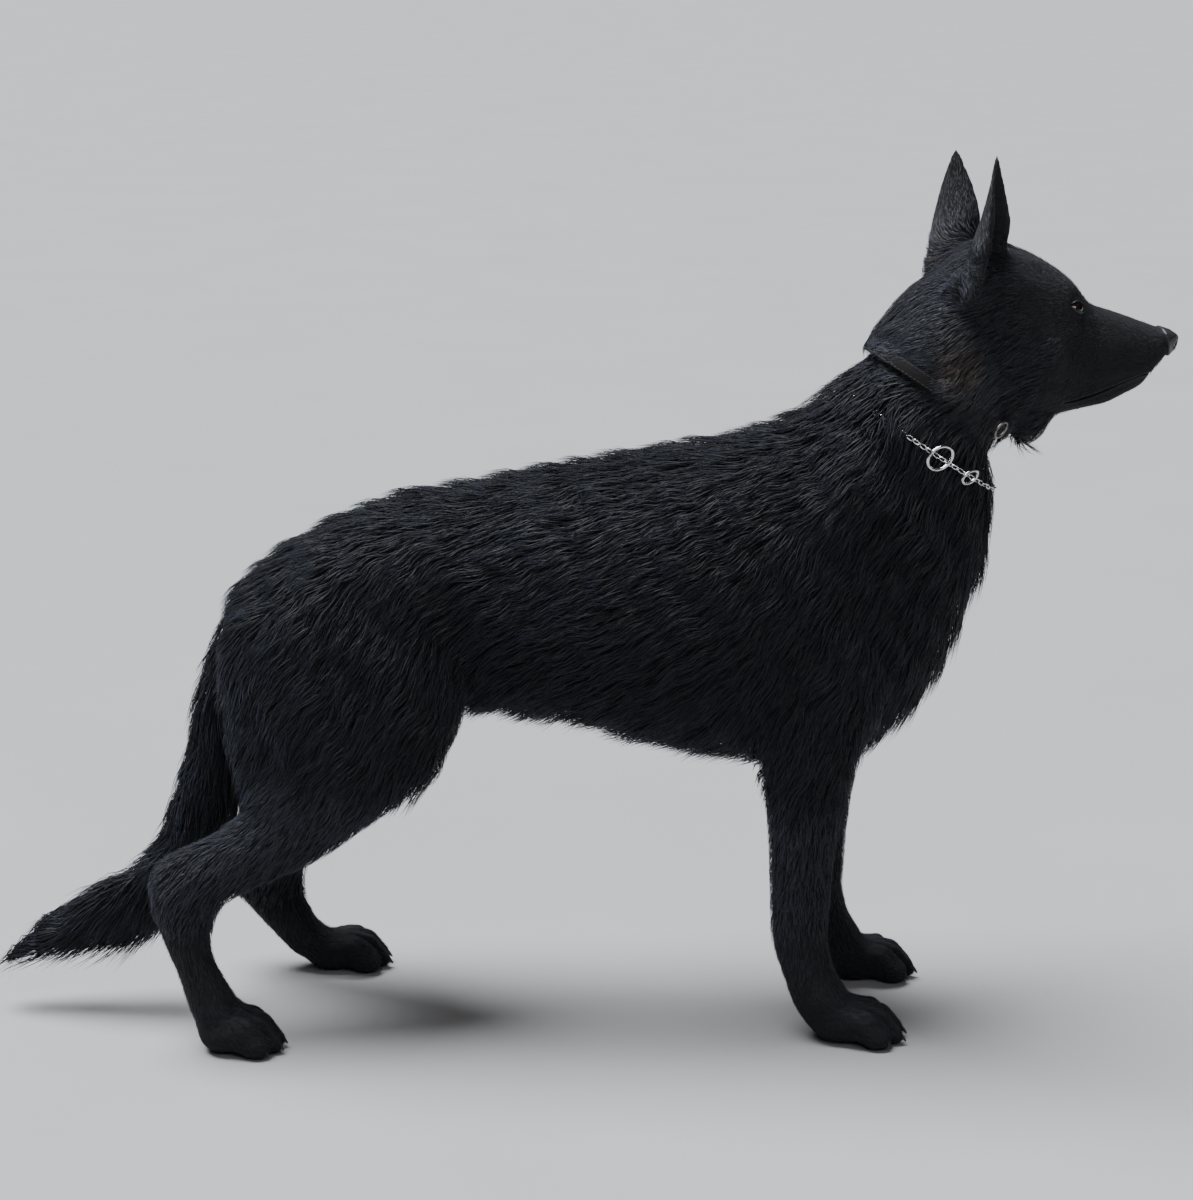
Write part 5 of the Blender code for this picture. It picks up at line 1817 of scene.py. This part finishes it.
class MUSEUM_DOG_OT_chain(bpy.types.Operator):
    """Make the chain collar of real links, with its two rings"""

    bl_idname = "museum_dog.chain"
    bl_label = "Make chain"

    def execute(self, context):
        collars = context.scene.dog_collars
        wire = collars.wire
        mat = steel_material("chain steel", *CHAIN_STEEL)
        dull = steel_material("dull steel", *DULL_STEEL)
        ring = Ring("collar_chain")
        pitch = collars.link_length - LINK_OVERLAP * wire
        count = 2 * round(ring.resampled(2)[3] / pitch / 2)
        places, out, along, _ = ring.resampled(count)
        places = places - out * (SUNK_LINKS * ramp(places[:, 0], *SUNK_BEHIND))[:, None]
        reaches = (collars.link_length / 2 - wire, collars.link_width / 2 - wire)
        bm = bmesh.new()
        for k in range(count):
            ahead, outward = Vector(along[k]), Vector(out[k])
            roll = math.radians(LINK_ROLL if k % 2 else -LINK_ROLL)
            axis = (Matrix.Rotation(roll, 3, ahead) @ outward).normalized()
            ring_of_wire(bm, Vector(places[k]), axis, ahead, reaches, wire, 16, 7)
        finished_rings(bm, "chain_links", mat, "collar_chain")
        for node in (*CHAIN_RINGS, "collar_ring"):
            places = corners_of(node)
            middle = places.mean(0)
            axes = main_axes(places)
            thick, wide, long = (np.abs((places - middle) @ way).max() for way in axes.T)
            wire = thick * RING_WIRE
            bm = bmesh.new()
            axis, first = Vector(axes[:, 0]), Vector(axes[:, 2])
            ring_of_wire(bm, Vector(middle), axis, first, (long - wire, wide - wire), wire, 40, 12)
            finished_rings(bm, f"{node}_round", mat if node in CHAIN_RINGS else dull, node)
        return {"FINISHED"}


class MUSEUM_DOG_OT_strap(bpy.types.Operator):
    """Make the leather strap with rounded edges and two rows of stitches"""

    bl_idname = "museum_dog.strap"
    bl_label = "Make strap"

    def execute(self, context):
        ring = Ring("collar_strap")
        places, out, along, length = ring.resampled(96)
        profile = []
        for corner_u, corner_v, start in ((1, 1, 0), (-1, 1, 90), (-1, -1, 180), (1, -1, 270)):
            for step in range(4):
                angle = math.radians(start + 30 * step)
                u = corner_u * (STRAP_HALF - STRAP_CORNER) + STRAP_CORNER * math.cos(angle)
                v = corner_v * (STRAP_THICK - STRAP_CORNER) + STRAP_CORNER * math.sin(angle)
                profile.append((u, v))
        bm = bmesh.new()
        hoops = []
        for k in range(len(places)):
            circle = bmesh.ops.create_circle(bm, cap_ends=False, segments=len(profile), radius=1.0)["verts"]
            wide = np.cross(out[k], along[k])
            for vertex, (u, v) in zip(circle, profile):
                vertex.co = places[k] + wide * u + out[k] * v
            hoops.append(list({e for v in circle for e in v.link_edges}))
        for near, far in zip(hoops, hoops[1:] + hoops[:1]):
            bmesh.ops.bridge_loops(bm, edges=near + far)
        bmesh.ops.recalc_face_normals(bm, faces=bm.faces)
        strap = new_object("strap_leather", mesh_from(bm, "strap_leather"), leather_material())
        finished(strap, "strap", "collar_strap")
        pitch = context.scene.dog_collars.stitch_pitch
        places, out, along, _ = ring.resampled(int(length / pitch))
        bm = bmesh.new()
        for k in range(len(places)):
            wide = np.cross(out[k], along[k])
            axes = Matrix((along[k], wide, out[k])).transposed()
            for row in (-1, 1):
                ball = bmesh.ops.create_uvsphere(bm, u_segments=8, v_segments=6, radius=1.0)["verts"]
                bmesh.ops.scale(bm, verts=ball, vec=(pitch * 0.40, STITCH_RADIUS, STITCH_RADIUS))
                bmesh.ops.rotate(bm, verts=ball, matrix=axes)
                middle = places[k] + wide * row * (STRAP_HALF - STITCH_INSET) + out[k] * STRAP_THICK
                bmesh.ops.translate(bm, verts=ball, vec=Vector(middle))
        thread = new_object("strap_stitches", mesh_from(bm, "strap_stitches"), thread_material())
        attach(thread, "root")
        return {"FINISHED"}


# ---------------------------------------------------------------- the stage

FLOOR = (0.290, 0.287, 0.282)
FLOOR_LIGHT = (0.325, 0.322, 0.317)
AIR = (0.93, 0.96, 1.0, 1.0)
AIR_LIGHT = 0.04  # what the air around gives to the dog
AIR_SEEN = 0.80  # how bright it is to look at
SUN = (10.0, 42, (0.90, 0.93, 1.0))  # strength, softness in degrees and colour
SUN_TURN = (math.radians(-6), math.radians(-16), 0)
SOFTBOX_PLACE = (0.6, -3.2, 2.6)
SOFTBOX_AIM = (0.0, 0.0, 0.42)
SOFTBOX_SIZE = (2.4, 1.6)
SOFTBOX = (46, (0.97, 0.96, 1.0))  # power and colour
CAMERA_SHIFT = (0.0156, -0.0014)  # from the dog's middle ahead and back


def floor_material():
    """Pale plaster, a little mottled."""
    made, shader, bench = new_material("pale floor", Roughness=0.75)
    mottle = bench.noise(bench.place(), 3.0, 6.0)
    grain = bench.noise(bench.place(), 220.0)
    bench.wire(bench.mix(mottle, FLOOR, FLOOR_LIGHT), shader.inputs["Base Color"])
    bench.wire(bench.bump(grain, 0.08, 0.001), shader.inputs["Normal"])
    return made


def light_up(name, kind):
    """A lamp of some kind and its object in the scene."""
    lamp = bpy.data.lights.new(name, kind)
    made = bpy.data.objects.new(name, lamp)
    bpy.context.scene.collection.objects.link(made)
    return lamp, made


class MUSEUM_DOG_OT_stage(bpy.types.Operator):
    """Lay the floor and set the lights and the camera"""

    bl_idname = "museum_dog.stage"
    bl_label = "Set stage"

    def execute(self, context):
        studio = context.scene.dog_studio
        bm = bmesh.new()
        bmesh.ops.create_grid(bm, x_segments=8, y_segments=8, size=40.0)
        floor = new_object("floor", mesh_from(bm, "floor"), floor_material())
        world = bpy.data.worlds.new("studio air")
        context.scene.world = world
        world.use_nodes = True
        bench = Bench(world.node_tree)
        air = world.node_tree.nodes["Background"]
        air.inputs["Color"].default_value = AIR
        seen = bench.node("ShaderNodeLightPath").outputs["Is Camera Ray"]
        bench.wire(bench.span(seen, 0.0, 1.0, AIR_LIGHT, AIR_SEEN), air.inputs["Strength"])
        sun, above = light_up("sky", "SUN")
        sun.energy, sun.angle, sun.color = SUN[0], math.radians(SUN[1]), SUN[2]
        above.rotation_euler = SUN_TURN
        lamp, softbox = light_up("softbox", "AREA")
        lamp.shape = "RECTANGLE"
        lamp.size, lamp.size_y = SOFTBOX_SIZE
        lamp.energy, lamp.color = SOFTBOX
        softbox.location = SOFTBOX_PLACE
        softbox.rotation_mode = "QUATERNION"
        aim = Vector(SOFTBOX_AIM) - Vector(SOFTBOX_PLACE)
        softbox.rotation_quaternion = aim.to_track_quat("-Z", "Y")
        softbox.visible_camera = False
        middle = (Vector(CAD_BOX[0]) + Vector(CAD_BOX[1])) / 2
        lens = bpy.data.cameras.new("camera")
        camera = bpy.data.objects.new("camera", lens)
        context.scene.collection.objects.link(camera)
        camera.location = (middle.x + CAMERA_SHIFT[0], CAMERA_SHIFT[1] - studio.distance, studio.height)
        camera.rotation_euler = (math.pi / 2 - studio.down, 0, 0)
        lens.lens = studio.lens
        lens.sensor_width = 36.0
        lens.clip_end = 200.0
        context.scene.camera = camera
        return {"FINISHED"}


# ---------------------------------------------------------------- the add-on


class MUSEUM_DOG_PT_panel(bpy.types.Panel):
    """The dog's pieces, in the order that they are made"""

    bl_idname = "MUSEUM_DOG_PT_panel"
    bl_label = "Shepherd dog"
    bl_space_type = "VIEW_3D"
    bl_region_type = "UI"
    bl_category = "Dog"

    def draw(self, context):
        for key, settings in SETTINGS.items():
            box = self.layout.box()
            for name in settings.__annotations__:
                box.prop(getattr(context.scene, key), name)
        for step in STEPS:
            self.layout.operator(step.bl_idname)


STEPS = (
    MUSEUM_DOG_OT_stage,
    MUSEUM_DOG_OT_skin,
    MUSEUM_DOG_OT_eyes,
    MUSEUM_DOG_OT_claws,
    MUSEUM_DOG_OT_chain,
    MUSEUM_DOG_OT_strap,
    MUSEUM_DOG_OT_coat,
)


def register():
    for kind in (*SETTINGS.values(), *STEPS, MUSEUM_DOG_PT_panel):
        bpy.utils.register_class(kind)
    for key, settings in SETTINGS.items():
        setattr(bpy.types.Scene, key, PointerProperty(type=settings))


def unregister():
    for key in SETTINGS:
        delattr(bpy.types.Scene, key)
    for kind in (MUSEUM_DOG_PT_panel, *STEPS[::-1], *SETTINGS.values()):
        bpy.utils.unregister_class(kind)


def main():
    register()
    for step in STEPS:
        group_name, name = step.bl_idname.split(".")
        getattr(getattr(bpy.ops, group_name), name)()


if __name__ == "__main__":
    main()
